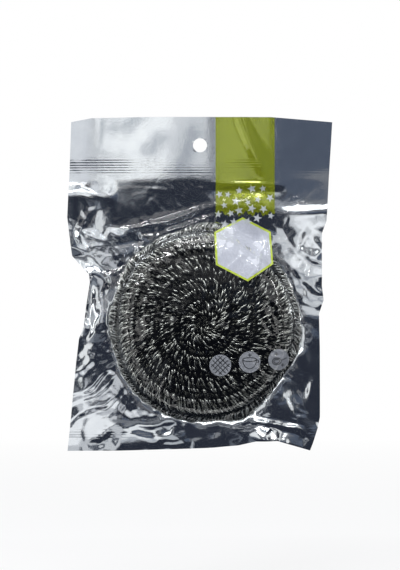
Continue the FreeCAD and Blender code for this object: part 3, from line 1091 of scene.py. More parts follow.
    # Creases of each film by itself. They have their full height where a film is half free of its
    # seal, and the wrinkles among them run on over the pad.
    full_share: float = 0.5
    wrinkle_pad_share: float = 0.5
    scatter_across: Point = (-96.0, 97.0)
    scatter_up: Point = (-194.0, 30.0)
    scatter_jitter_share: float = 0.46
    spoke_radii: tuple[float, ...] = (38.0, 54.0, 70.0, 88.0, 130.0)
    spoke_turn_share: float = 0.3
    spoke_reach_share: float = 0.07
    pad_share: float = 0.18
    free_share: float = 0.82
    pad_end: Point = (-14.0, 3.0)
    front_spokes: Spokes = Spokes(26, 1.5, 31)
    front_facets: tuple[Facets, ...] = (Facets((17, 14), 1.0, 41), Facets((7.0, 6.0), 0.16, 51))
    front_wrinkles: Wrinkles = Wrinkles(420, 71, (8, 30), (0.55, 0.9), (0.08, 0.30))
    back_spokes: Spokes = Spokes(18, 1.4, 131)
    back_facets: tuple[Facets, ...] = (
        Facets((20, 17), 1.4, 141), Facets((11, 9.0), 0.5, 151), Facets((4.6, 4.0), 0.14, 152),
    )
    back_wrinkles: Wrinkles = Wrinkles(120, 171, (10, 34), (0.7, 1.2), (0.15, 0.4))
    wrinkles_across: Point = (-70.0, 70.0)
    wrinkles_up: Point = (-166.0, -18.0)
    wrinkle_turn: float = 0.5
    wrinkle_bend_share: float = 0.12
    wrinkle_cross_share: float = 0.3
    # Streaks: the shares of a fan's length where they start and stop, how far both ends stray and
    # they bend, and the least and the greatest half width and height.
    streak_seed: int = 77
    streak_start_shares: Point = (0.0, 0.4)
    streak_stop_shares: Point = (0.6, 1.0)
    fan_start_share: float = 0.55
    streak_strays: Point = (0.7, 0.9)
    streak_bend: float = 0.9
    streak_least: Point = (0.6, 0.22)
    streak_most: Point = (1.3, 0.6)
    streak_fans: tuple[Fan, ...] = (
        Fan(-52.0, -60.0, 24.0, -42.0, 24.0, 30, 1.6),
        Fan(-50.0, -48.0, 8.0, -39.0, 9.0, 10, 1.3),
        Fan(-56.0, -74.0, -22.0, -58.0, 13.0, 9, 1.3),
        Fan(-69.0, -54.0, -52.0, -27.0, 12.0, 6, 1.0),
        Fan(40.0, -44.0, 66.0, -30.0, 10.0, 7, 1.0),
        Fan(48.0, -140.0, 64.0, -158.0, 14.0, 8, 1.0),
        Fan(-48.0, -142.0, -68.0, -166.0, 16.0, 9, 1.0),
        Fan(-54.0, -96.0, -66.0, -88.0, 16.0, 6, 1.0),
        Fan(52.0, -70.0, 66.0, -62.0, 20.0, 8, 1.0),
        Fan(-20.0, -154.0, 36.0, -160.0, 8.0, 8, 1.0),
        Fan(30.0, -82.0, 52.0, -108.0, 20.0, 9, 1.1),
        Fan(-58.0, -53.0, -6.0, -46.0, 10.0, 12, 1.2),
        Fan(-47.0, -60.0, -18.0, -78.0, 18.0, 14, 1.4),
        Fan(30.0, -40.0, 48.0, -64.0, 12.0, 9, 1.1),
    )
    # Short streaks over the pad's rim: how many, how far from its axis, and their sizes.
    rim_streaks: int = 150
    rim_reach: Point = (41.0, 58.0)
    rim_halves: Point = (5.0, 13.0)
    rim_turn: float = 0.35
    rim_bend: float = 0.8
    rim_widths: Point = (0.5, 1.0)
    rim_heights: Point = (0.3, 0.9)
    # Edges of the flat pockets that the films press together under the header.
    pocket_bend: float = 0.25
    pocket_width: float = 0.6
    pocket_height: float = 0.42
    pocket_edges: tuple[Points, ...] = (
        (
            (-53.0, -25.5), (-45.5, -20.8), (-42.0, -21.2), (-20.5, -21.6), (-14.5, -25.0),
            (-35.5, -24.6), (-53.0, -25.5),
        ),
        ((-16.5, -19.8), (-11.0, -25.0), (-7.4, -26.4), (-11.6, -20.6)),
        ((-8.0, -20.6), (-4.0, -24.0), (5.5, -25.0)),
    )
    raster: Raster = field(init=False)
    x: np.ndarray = field(init=False)
    z: np.ndarray = field(init=False)
    loose: np.ndarray = field(init=False)
    middle: np.ndarray = field(init=False)
    front: np.ndarray = field(init=False)
    back: np.ndarray = field(init=False)

    def __post_init__(self) -> None:
        """Work out the heights of both films over the pouch's plane."""
        self.raster = Raster()
        self.x, self.z = self.raster.places()
        self.loose = self.loose_share()
        radius = self.pad.form_radius(self.x, self.z)
        start, end = self.wave_start
        self.middle = self.seal_wave() * smooth_step(self.pad.radius + start, self.pad.radius + end, radius)
        front = self.drape(self.front_lumps) + self.front_creases()
        back = self.drape(self.back_lumps) + self.back_creases()
        cling = (front + back < 0) * (front + back) / 2
        self.front = soften(self.middle - self.film_gap - (front - cling), 1)
        self.back = soften(self.middle + self.film_gap + (back - cling), 1)

    def loose_share(self) -> np.ndarray:
        """How free the films are of their seals.

        Returns:
            Zero in the seals, rising to one where the films are free.
        """
        x, z = self.x, self.z
        left = edge_at(z, self.left_edge) + self.side_seal
        right = edge_at(z, self.right_edge) - self.side_seal
        wander = unevenness(x, z, self.seal_wander)
        inside = np.minimum.reduce([
            x - left + wander, right - x + wander,
            z - self.bottom_seam + self.bottom_wander_share * wander,
            self.header_seam - z + self.header_wander_share * wander,
        ])
        return np.clip(inside / self.seal_fade, 0, 1)

    def seal_wave(self) -> np.ndarray:
        """Bow of the header and ripples of the seals, which both films share.

        Returns:
            The height of every cell.
        """
        x, z = self.x, self.z
        bow = self.header_bow * x ** 2 * smooth_step(*self.header_rise, z)
        inward = np.minimum(x - edge_at(z, self.left_edge), edge_at(z, self.right_edge) - x)
        edge = np.clip(1 - inward / self.ripple_reach, 0, 1) * (1 - smooth_step(*self.ripple_end, z))
        side = edge * sum(self.folds(facets) for facets in self.side_facets)
        bottom = smooth_step(*self.bottom_rise, z) * sum(self.folds(facets) for facets in self.bottom_facets)
        dip = np.exp(-(((x - self.dip_place) / self.dip_width) ** 2))
        bottom -= self.dip_depth * smooth_step(*self.dip_rise, z) * dip
        broad = unevenness(x, z, self.broad_wave)
        flat = smooth_step(*self.flat_side, x) * smooth_step(*self.flat_start, z)
        flat = flat * (1 - smooth_step(*self.flat_end, z))
        crumple = (side * (1 - self.flat_share * flat) + bottom + broad) * self.calm()
        hinge = edge_at(z, self.hinge_line)
        return bow + crumple + hinge + self.wrinkles(self.lasting_folds) + self.pleats()

    def pleats(self) -> np.ndarray:
        """Pleats of the drawn-in seals: each rises slowly and falls fast, so most of it faces one way.

        Returns:
            The height of every cell.
        """
        x, z = self.x, self.z
        half, rise = self.pleat_count // 2, self.pleat_rise_share
        out = np.zeros_like(x)
        for zone in self.pleat_zones:
            way, chance = math.radians(zone.angle), np.random.default_rng(zone.seed)
            widths = zone.pitch * (1 + zone.uneven * chance.uniform(-1, 1, self.pleat_count))
            uneven = self.pleat_steep_share * zone.uneven
            steep = zone.slope * (1 + uneven * chance.uniform(-1, 1, self.pleat_count))
            edges = np.concatenate([[0], np.cumsum(widths)]) - widths[:half].sum() - widths[half] / 2
            along = (x - zone.x) * math.cos(way) + (z - zone.z) * math.sin(way)
            along = along + zone.uneven * zone.pitch * unevenness(x, z, self.pleat_wander, zone.seed)
            index = np.clip(np.searchsorted(edges, along) - 1, 0, self.pleat_count - 1)
            share = np.clip((along - edges[index]) / widths[index], 0, 1)
            saw = np.where(share < rise, share, rise * (1 - share) / (1 - rise)) - rise / 2
            loss = 1 + unevenness(x, z, self.pleat_loss, zone.seed)
            lasting = 1 - self.pleat_loss_share * zone.uneven * loss
            mask = np.exp(-((x - zone.x) / zone.reach_x) ** 4 - ((z - zone.z) / zone.reach_z) ** 4)
            out += mask * lasting * (steep * widths)[index] * saw
        return out * (1 - smooth_step(*self.pleat_end, z))

    def drape(self, lumps: Lumps) -> np.ndarray:
        """Height of a film drawn in over the lumpy pad, down to the seals: a membrane over an obstacle.

        Args:
            lumps: lumps of the pad on the film's side.

        Returns:
            The height of every cell.
        """
        stride = self.relax_stride
        x, z = self.x[::stride, ::stride], self.z[::stride, ::stride]
        radius = self.pad.form_radius(x, z)
        bumps = lumps.height * (1 + unevenness(x, z, self.lump_waves, lumps.seed))
        obstacle = np.where(radius < self.pad.radius, self.pad.top(radius) + self.film_lift + bumps, 0)
        held = self.loose[::stride, ::stride] <= 0
        height = obstacle.copy()
        parity = np.add.outer(np.arange(x.shape[0]), np.arange(x.shape[1])) % 2
        for _ in range(self.relax_rounds):
            for colour in (0, 1):
                mean = np.zeros_like(height)
                mean[1:-1, 1:-1] = (
                    height[2:, 1:-1] + height[:-2, 1:-1] + height[1:-1, 2:] + height[1:-1, :-2]
                ) / 4
                pulled = height + self.relax_gain * (mean * (1 - self.draw_in) - height)
                height = np.where(parity == colour, np.maximum(pulled, obstacle), height)
                height[held] = 0
        # Near the seals the films lie closer together than a membrane alone would.
        closer = self.close_share + (1 - self.close_share) * smooth_step(0, self.close_end, self.loose)
        raster = self.raster
        coarse = Raster(raster.left, raster.bottom, raster.step * stride, x.shape[1], x.shape[0])
        return coarse.sample(height, self.x, self.z) * closer

    def scatter(self, spacing: Point, seed: int) -> np.ndarray:
        """Fold corners on a jittered grid over the pouch.

        Args:
            spacing: mean spacing across and up, in millimetres.
            seed: number of the layout.

        Returns:
            X and Z of each corner.
        """
        chance = np.random.default_rng(seed)
        x = np.arange(*self.scatter_across, spacing[0])
        z = np.arange(*self.scatter_up, spacing[1])
        grid = np.stack(np.meshgrid(x, z), axis=-1).reshape(-1, 2)
        jitter = self.scatter_jitter_share
        return grid + chance.uniform(-jitter, jitter, grid.shape) * np.array(spacing)

    def folds(self, facets: Facets) -> np.ndarray:
        """Irregular flat facets of one mean size and height.

        Args:
            facets: their spacing, height and layout.

        Returns:
            The height of every cell.
        """
        points = self.scatter(facets.spacing, facets.seed)
        levels = np.random.default_rng(facets.seed + 1).uniform(-1, 1, len(points)) * facets.height
        return self.raster.facets(points, levels)

    def spokes(self, row: Spokes) -> np.ndarray:
        """Long facets that run out from the pad to the seals, where the film is drawn in.

        Args:
            row: their count, height and layout.

        Returns:
            The height of every cell.
        """
        chance = np.random.default_rng(row.seed)
        turn, stretch = self.spoke_turn_share, self.spoke_reach_share
        x, _, z = self.pad.centre
        points, levels = [], []
        for ring, radius in enumerate(self.spoke_radii):
            for index in range(row.count):
                angle = 2 * np.pi * (index + 0.5 * (ring % 2) + chance.uniform(-turn, turn)) / row.count
                reach = radius * (1 + chance.uniform(-stretch, stretch))
                points.append((x + reach * math.cos(angle), z + reach * math.sin(angle)))
                levels.append(chance.uniform(-1, 1) * row.height)
        return self.raster.facets(np.array(points), np.array(levels))

    def free_of_pad(self) -> np.ndarray:
        """One where the film hangs free of the pad, less where it lies on it.

        Returns:
            The share for every cell.
        """
        radius = self.pad.form_radius(self.x, self.z)
        start, end = self.pad_end
        free = smooth_step(self.pad.radius + start, self.pad.radius + end, radius)
        return self.pad_share + self.free_share * free

    def calm(self) -> np.ndarray:
        """Less than one in the taut areas, where the films crease little.

        Returns:
            The share for every cell.
        """
        band = smooth_step(*self.band_start, self.z) * smooth_step(*self.band_side, self.x)
        corner = (1 - smooth_step(*self.corner_side, self.x)) * (1 - smooth_step(*self.corner_end, self.z))
        return 1 - self.band_share * band - self.corner_share * corner

    def wrinkles(self, creases: Iterable[Crease]) -> np.ndarray:
        """Thin ridges along slightly curved lines.

        Args:
            creases: the ridges.

        Returns:
            The height of every cell.
        """
        left, bottom, step = self.raster.left, self.raster.bottom, self.raster.step
        out = np.zeros_like(self.x)
        for x0, z0, x1, z1, bend, width, height in creases:
            length = math.hypot(x1 - x0, z1 - z0)
            ux, uz = (x1 - x0) / length, (z1 - z0) / length
            reach = self.crease_reach_share * width + abs(bend)
            i0 = max(int((min(x0, x1) - reach - left) / step), 0)
            i1 = int((max(x0, x1) + reach - left) / step) + 1
            j0 = max(int((min(z0, z1) - reach - bottom) / step), 0)
            j1 = int((max(z0, z1) + reach - bottom) / step) + 1
            x, z = self.x[j0:j1, i0:i1] - x0, self.z[j0:j1, i0:i1] - z0
            share = (x * ux + z * uz) / length
            aside = x * uz - z * ux - bend * 4 * share * (1 - share)
            arch = np.clip(4 * share * (1 - share), 0, 1) ** self.crease_end_power
            fade = np.where((share > 0) & (share < 1), arch, 0)
            out[j0:j1, i0:i1] += height * fade * np.exp(-((aside / width) ** 2))
        return out

    def scattered_creases(self, row: Wrinkles) -> list[Crease]:
        """Fine creases all over a film, most of them running out from the pad.

        Args:
            row: their count, their layout and their sizes.

        Returns:
            The creases.
        """
        chance = np.random.default_rng(row.seed)
        creases = []
        for _ in range(row.count):
            x, z = chance.uniform(*self.wrinkles_across), chance.uniform(*self.wrinkles_up)
            out = math.atan2(z - self.pad.centre[2], x - self.pad.centre[0])
            way = out + chance.normal(0, self.wrinkle_turn)
            way = way + (math.pi / 2 if chance.uniform() < self.wrinkle_cross_share else 0)
            half = chance.uniform(*row.lengths) / 2
            bend = chance.normal(0, self.wrinkle_bend_share) * half
            width = chance.uniform(*row.widths)
            height = chance.uniform(*row.heights) * chance.choice((-1, 1))
            creases.append(Crease(*line_ends(x, z, way, half), bend, width, height))
        return creases

    def streaks(self) -> list[Crease]:
        """Streaks where the front film is pulled to the header and the corners, and over the pad's rim.

        Returns:
            The streaks, and the edges of the flat pockets.
        """
        chance = np.random.default_rng(self.streak_seed)
        start_stray, stop_stray = self.streak_strays
        creases = []
        for x0, z0, x1, z1, spread, count, size in self.streak_fans:
            length = math.hypot(x1 - x0, z1 - z0)
            nx, nz = -(z1 - z0) / length, (x1 - x0) / length
            for index in range(count):
                side = (index / max(count - 1, 1) - 0.5) * spread
                first = chance.uniform(*self.streak_start_shares)
                last = chance.uniform(*self.streak_stop_shares)
                shift0 = side * self.fan_start_share + chance.normal(0, start_stray)
                shift1 = side + chance.normal(0, stop_stray)
                creases.append(Crease(
                    x0 + (x1 - x0) * first + nx * shift0, z0 + (z1 - z0) * first + nz * shift0,
                    x0 + (x1 - x0) * last + nx * shift1, z0 + (z1 - z0) * last + nz * shift1,
                    chance.normal(0, self.streak_bend),
                    *(size * chance.uniform(self.streak_least, self.streak_most)),
                ))
        for _ in range(self.rim_streaks):
            angle, reach = chance.uniform(0, 2 * math.pi), chance.uniform(*self.rim_reach)
            half = chance.uniform(*self.rim_halves)
            way = angle + chance.normal(0, self.rim_turn)
            x, z = self.pad.centre[0] + reach * math.cos(angle), self.pad.centre[2] + reach * math.sin(angle)
            bend = chance.normal(0, self.rim_bend)
            width, height = chance.uniform(*self.rim_widths), chance.uniform(*self.rim_heights)
            creases.append(Crease(*line_ends(x, z, way, half), bend, width, height))
        for path in self.pocket_edges:
            for start, end in zip(path, path[1:]):
                bend = chance.normal(0, self.pocket_bend)
                creases.append(Crease(*start, *end, bend, self.pocket_width, self.pocket_height))
        return creases

    def crease_share(self) -> np.ndarray:
        """How much the films fold: less near the seals, on the pad and in the taut areas.

        Returns:
            The share for every cell.
        """
        return np.minimum(self.loose / self.full_share, 1) * self.free_of_pad() * self.calm()

    def front_creases(self) -> np.ndarray:
        """Creases of the clear front film.

        Returns:
            The height of every cell.
        """
        large, small = (self.folds(facets) for facets in self.front_facets)
        creases = self.scattered_creases(self.front_wrinkles) + self.streaks()
        on_pad = self.wrinkle_pad_share + (1 - self.wrinkle_pad_share) * self.free_of_pad()
        folded = self.crease_share() * (self.spokes(self.front_spokes) + large + small)
        return folded + self.loose * on_pad * self.wrinkles(creases)

    def back_creases(self) -> np.ndarray:
        """Creases of the metallised back film.

        Returns:
            The height of every cell.
        """
        large, middle, small = (self.folds(facets) for facets in self.back_facets)
        creases = self.scattered_creases(self.back_wrinkles)
        folded = (self.spokes(self.back_spokes) + large) + (middle + small)
        return self.crease_share() * (folded + self.wrinkles(creases))

    def film_grid(self) -> tuple[np.ndarray, np.ndarray]:
        """Grid of a film, drawn in to the pouch's outline, with close rows in the ribbed seals.

        Returns:
            X and Z of its points, as arrays of rows and columns.
        """
        height, end = self.grid_up
        rows = []
        while height < end:
            rows.append(height)
            ribbed = any(low < height < high for low, high in self.rib_bands)
            height += self.rib_row_step if ribbed else self.row_step
        up = (np.array(rows) - rows[0]) / (rows[-1] - rows[0])
        s, t = np.meshgrid(np.linspace(0, 1, self.columns), up)
        x = self.grid_left + self.grid_width * s
        for _ in range(self.fit_rounds):
            low, high = edge_at(x, self.bottom_edge), edge_at(x, self.top_edge)
            z = low + (high - low) * t
            left, right = edge_at(z, self.left_edge), edge_at(z, self.right_edge)
            x = left + (right - left) * s
        return x, z

    def ribs(self, x: np.ndarray, z: np.ndarray) -> np.ndarray:
        """Ribs of the heat seals, pressed unevenly and nearly flat in places.

        Args:
            x: places across.
            z: places up.

        Returns:
            The height at each place.
        """
        fade, least = self.rib_fade, self.worn_share
        out = np.zeros_like(z)
        for low, high in self.rib_bands:
            band = smooth_step(low, low + fade, z) * (1 - smooth_step(high - fade, high, z))
            worn = least + (1 - least) * smooth_step(*self.rib_wear_span, unevenness(x, z, self.rib_wear))
            out += self.rib_depth * band * worn * np.cos(2 * np.pi * z / self.rib_pitch)
        return out

    def film(
        self, name: str, heights: np.ndarray, side: Side, material: bpy.types.Material, slot: Slot,
        node_name: str,
    ) -> bpy.types.Object:
        """Make one film in the place of its solid.

        Args:
            name: the piece's name.
            heights: Y of the film over the pouch's plane.
            side: the side of the pouch that it is on.
            material: its finish.
            slot: the record's material slot.
            node_name: the solid that it stands for.

        Returns:
            The piece.
        """
        x, z = self.film_grid()
        y = self.raster.sample(heights, x, z) + self.ribs(x, z)
        radius = np.hypot(x, z)
        near = np.abs(radius - self.hole_radius) < self.hole_snap
        pull = np.where(near, self.hole_radius / np.maximum(radius, TINY), 1)
        x, z = x * pull, z * pull
        points = np.stack([x, y, z], axis=-1).reshape(-1, 3)
        quads = grid_quads(*x.shape)
        if side is Side.BACK:
            quads = quads[:, ::-1]
        middle = points[quads].mean(axis=1)
        quads = quads[np.hypot(middle[:, 0], middle[:, 2]) > self.hole_radius * self.hole_trim_share]
        used, packed = np.unique(quads, return_inverse=True)
        piece = add_mesh(name, points[used], packed.reshape(-1, 4), material, slot)
        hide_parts(node_name)
        return piece

    def build(
        self, clear: ClearFilm, foil: MetallisedFilm, resting: list[bpy.types.Object]
    ) -> list[bpy.types.Object]:
        """Make both films, each in the place of its solid.

        Args:
            clear: finish of the front film.
            foil: finish of the back film.
            resting: the pieces that hold the films apart; not used.

        Returns:
            The two films.
        """
        front = self.film(
            "front_film_sheet", self.front, Side.FRONT, clear.material(), Slot.FILM, "front_film"
        )
        back = self.film("back_film_sheet", self.back, Side.BACK, foil.material(), Slot.FOIL, "back_film")
        return [front, back]


@dataclass
class Prints:
    """Printed areas on the inside of the front film: a band, a badge, discs with signs, and stars."""

    pouch: Pouch
    band_ink: GlassyInk = GlassyInk()
    badge_ink: Ink = Ink("pale_grey_ink", "#c9cad6", "#bcbdca")
    border_ink: Ink = Ink("lime_ink", "#c6d63a", "#b4c52c")
    disc_ink: Ink = Ink("mid_grey_ink", "#93949b", "#85868e")
    sign_ink: Ink = Ink("dark_grey_ink", "#26272c", "#303238")
    star_ink: Ink = Ink("silver_ink", "#c4c6cb", "#aeb1b8")
    # How far the first prints lie behind the film, and how far a print lies before the one that
    # it is printed over.
    depth: float = 0.07
    over: float = 0.03
    star_over: float = 0.04
    inner_share: float = 0.004
    band_across: Point = (8.9, 42.6)
    band_up: Point = (-39.0, 16.2)
    band_grid: tuple[int, int] = (60, 110)
    band_margin: float = 0.15
    ragged_start: float = -30.0
    ragged_heights: Point = (1.1, 0.7)
    ragged_turns: Point = (0.9, 2.3)
    badge_middle: Point = (24.8, -59.3)
    badge_corners: Points = (
        (-0.5, 18.3), (-16.8, 9.7), (-15.9, -9.0), (2.0, -18.3), (16.9, -8.4), (15.6, 10.1),
    )
    badge_border_share: float = 0.93
    badge_rings: int = 24
    border_rings: int = 3
    side_points: int = 16
    disc_radius: float = 6.1
    disc_middles: Points = ((11.4, -124.7), (27.9, -122.9), (44.5, -121.8))
    disc_points: int = 64
    disc_rings: int = 10
    sign_width: float = 0.5
    mesh_shifts: tuple[float, ...] = (-3.0, -1.0, 1.0, 3.0)
    mesh_share: float = 0.72
    mesh_points: int = 12
    # Cup and pan about a disc's middle: ovals by their middle and reach, a line by its ends, and
    # sparkles by their place and reach.
    oval_points: int = 33
    cup_rim: Points = ((0.0, 1.4), (3.9, 1.1))
    cup_bowl: Points = ((0.0, 1.4), (3.9, 5.2))
    cup_handle: Points = ((4.1, 0.4), (0.9, 0.8))
    cup_sparkle: tuple[float, float, float] = (0.0, 3.9, 1.0)
    pan_rim: Points = ((-1.2, -0.9), (2.6, 1.9))
    pan_floor: Points = ((-1.2, -0.9), (1.7, 1.1))
    pan_handle: Points = ((1.3, -0.5), (4.7, 0.9))
    pan_sparkles: tuple[tuple[float, float, float], ...] = ((-1.6, 3.2, 1.1), (2.4, -3.2, 1.0))
    handle_points: int = 6
    sparkle_points: int = 4
    star_seed: int = 5
    star_first: Point = (10.5, -26.5)
    star_step: Point = (6.4, 5.6)
    star_counts: tuple[int, int] = (5, 4)
    star_jitter: Point = (1.1, 1.0)
    star_sizes: Point = (0.8, 1.1)
    star_slope: float = 0.16
    star_slope_middle: float = 24.0
    star_radii: Point = (2.5, 1.05)
    star_rings: int = 3

    def on_film(self, x: np.ndarray, z: np.ndarray, depth: float) -> np.ndarray:
        """Points on the inner face of the front film, a little behind it."""
        y = self.pouch.raster.sample(self.pouch.front, x, z) + depth
        return np.stack([x, y, z], axis=-1).reshape(-1, 3)

    def patch(
        self, name: str, outline: np.ndarray, rings: int, depth: float, material: bpy.types.Material,
        inner: float = 0.0,
    ) -> bpy.types.Object:
        """Printed patch between an outline and a smaller copy of it about its middle.

        Args:
            name: the piece's name.
            outline: X and Z of the outline's points, in order.
            rings: steps from the middle out.
            depth: how far it lies behind the film.
            material: its ink.
            inner: share of the outline where the patch starts.

        Returns:
            The piece.
        """
        middle = outline.mean(axis=0)
        shares = np.linspace(max(inner, self.inner_share), 1, rings + 1)
        spread = middle + (outline - middle)[None, :, :] * shares[:, None, None]
        closed = np.concatenate([spread, spread[:, :1]], axis=1)
        points = self.on_film(closed[..., 0], closed[..., 1], depth)
        return add_mesh(name, points, grid_quads(*closed.shape[:2]), material, Slot.FILM)

    def strokes(self, name: str, lines: list[np.ndarray], material: bpy.types.Material) -> bpy.types.Object:
        """Printed lines of a sign.

        Args:
            name: the piece's name.
            lines: X and Z of each line's points.
            material: their ink.

        Returns:
            The piece.
        """
        meshes = []
        for line in lines:
            way = np.gradient(line, axis=0)
            way /= np.linalg.norm(way, axis=1)[:, None]
            side = np.stack([-way[:, 1], way[:, 0]], axis=1) * self.sign_width / 2
            pair = np.stack([line - side, line + side], axis=1)
            points = self.on_film(pair[..., 0], pair[..., 1], self.depth - self.over)
            meshes.append((points, grid_quads(*pair.shape[:2])))
        return add_mesh(name, *joined(meshes), material, Slot.FILM)

    def sparkle(self, x: float, z: float, reach: float) -> list[np.ndarray]:
        """Small upright cross about a place."""
        level, upright = ((x - reach, z), (x + reach, z)), ((x, z - reach), (x, z + reach))
        return [np.linspace(*line, self.sparkle_points) for line in (level, upright)]

    def sign_lines(self, sign: Sign) -> list[np.ndarray]:
        """Lines of a plain sign about a disc's middle.

        Args:
            sign: the thing that it shows.

        Returns:
            X and Z of each line's points.
        """
        turn, half = np.linspace(0, 2 * np.pi, self.oval_points), self.oval_points // 2
        if sign is Sign.MESH:
            reach = [math.sqrt(self.disc_radius ** 2 * self.mesh_share - s * s) for s in self.mesh_shifts]
            ends = [((s - r, -s - r), (s + r, r - s)) for s, r in zip(self.mesh_shifts, reach)]
            rising = [np.linspace(*pair, self.mesh_points) / math.sqrt(2) for pair in ends]
            return rising + [line * np.array([-1, 1]) for line in rising]
        if sign is Sign.CUP:
            rim, bowl = oval(*self.cup_rim, turn), oval(*self.cup_bowl, turn[half:])
            handle = oval(*self.cup_handle, turn[:half + 1] - np.pi / 2)
            return [rim, bowl, handle, *self.sparkle(*self.cup_sparkle)]
        rim, floor = oval(*self.pan_rim, turn), oval(*self.pan_floor, turn)
        handle = np.linspace(*self.pan_handle, self.handle_points)
        sparkles = [line for spot in self.pan_sparkles for line in self.sparkle(*spot)]
        return [rim, floor, handle, *sparkles]

    def band(self) -> list[bpy.types.Object]:
        """Lime band down from the top edge, with a ragged lower end.

        Returns:
            The piece, in a list.
        """
        columns, rows = self.band_grid
        x, z = np.meshgrid(np.linspace(*self.band_across, columns), np.linspace(*self.band_up, rows))
        (high, low), (slow, fast) = self.ragged_heights, self.ragged_turns
        sway = high * np.sin(x * slow) + low * np.sin(x * fast + 1)
        ragged = self.ragged_start - self.band_up[0]
        z = np.where(z < self.ragged_start, z + (z - self.ragged_start) / ragged * sway, z)
        z = np.minimum(z, edge_at(x, self.pouch.top_edge) - self.band_margin)
        points, ink = self.on_film(x, z, self.depth), self.band_ink.material()
        return [add_mesh("printed_band", points, grid_quads(*x.shape), ink, Slot.FILM)]

    def badge(self) -> list[bpy.types.Object]:
        """Pale badge of six sides with a lime border.

        Returns:
            The badge and its border.
        """
        pale, lime = self.badge_ink.material(), self.border_ink.material()
        corners = np.array(self.badge_middle) + np.array(self.badge_corners)
        sides = zip(corners, np.roll(corners, -1, axis=0))
        outline = np.concatenate([np.linspace(a, b, self.side_points, endpoint=False) for a, b in sides])
        upper, share = self.depth - self.over, self.badge_border_share
        return [
            self.patch("printed_badge", outline, self.badge_rings, self.depth, pale),
            self.patch("printed_badge_border", outline, self.border_rings, upper, lime, share),
        ]

    def discs(self) -> list[bpy.types.Object]:
        """Grey discs in a row, each with a dark sign.

        Returns:
            Each disc, followed by its sign.
        """
        grey, dark = self.disc_ink.material(), self.sign_ink.material()
        turns = np.linspace(0, 2 * np.pi, self.disc_points, endpoint=False)
        ring = self.disc_radius * oval((0.0, 0.0), (1.0, 1.0), turns)
        pieces = []
        for number, (middle, sign) in enumerate(zip(self.disc_middles, Sign), 1):
            outline = np.array(middle) + ring
            pieces.append(self.patch(f"printed_disc_{number}", outline, self.disc_rings, self.depth, grey))
            lines = [line + np.array(middle) for line in self.sign_lines(sign)]
            pieces.append(self.strokes(f"printed_sign_{number}", lines, dark))
        return pieces

    def stars(self) -> list[bpy.types.Object]:
        """Small silver stars, scattered over the lower end of the band.

        Returns:
            The stars.
        """
        silver, depth = self.star_ink.material(), self.depth - self.star_over
        chance = np.random.default_rng(self.star_seed)
        (x0, z0), (step_x, step_z), (columns, rows) = self.star_first, self.star_step, self.star_counts
        places = [
            (x0 + step_x * i + step_x / 2 * (j % 2), z0 - step_z * j)
            for j in range(rows) for i in range(columns)
        ]
        jitter_x, jitter_z = self.star_jitter
        corner = np.arange(10)
        pieces = []
        for number, (x, z) in enumerate(places, 1):
            x += chance.uniform(-jitter_x, jitter_x)
            z += chance.uniform(-jitter_z, jitter_z) + self.star_slope * (x - self.star_slope_middle)
            tips = chance.uniform(0, 2 * np.pi) + corner * np.pi / 5
            reach = np.where(corner % 2 == 0, *self.star_radii) * chance.uniform(*self.star_sizes)
            star = np.stack([x + reach * np.cos(tips), z + reach * np.sin(tips)], axis=1)
            pieces.append(self.patch(f"printed_star_{number}", star, self.star_rings, depth, silver))
        return pieces

    def build(self) -> list[bpy.types.Object]:
        """Make all the printed areas, each over the ones before it."""
        return self.band() + self.badge() + self.discs() + self.stars()


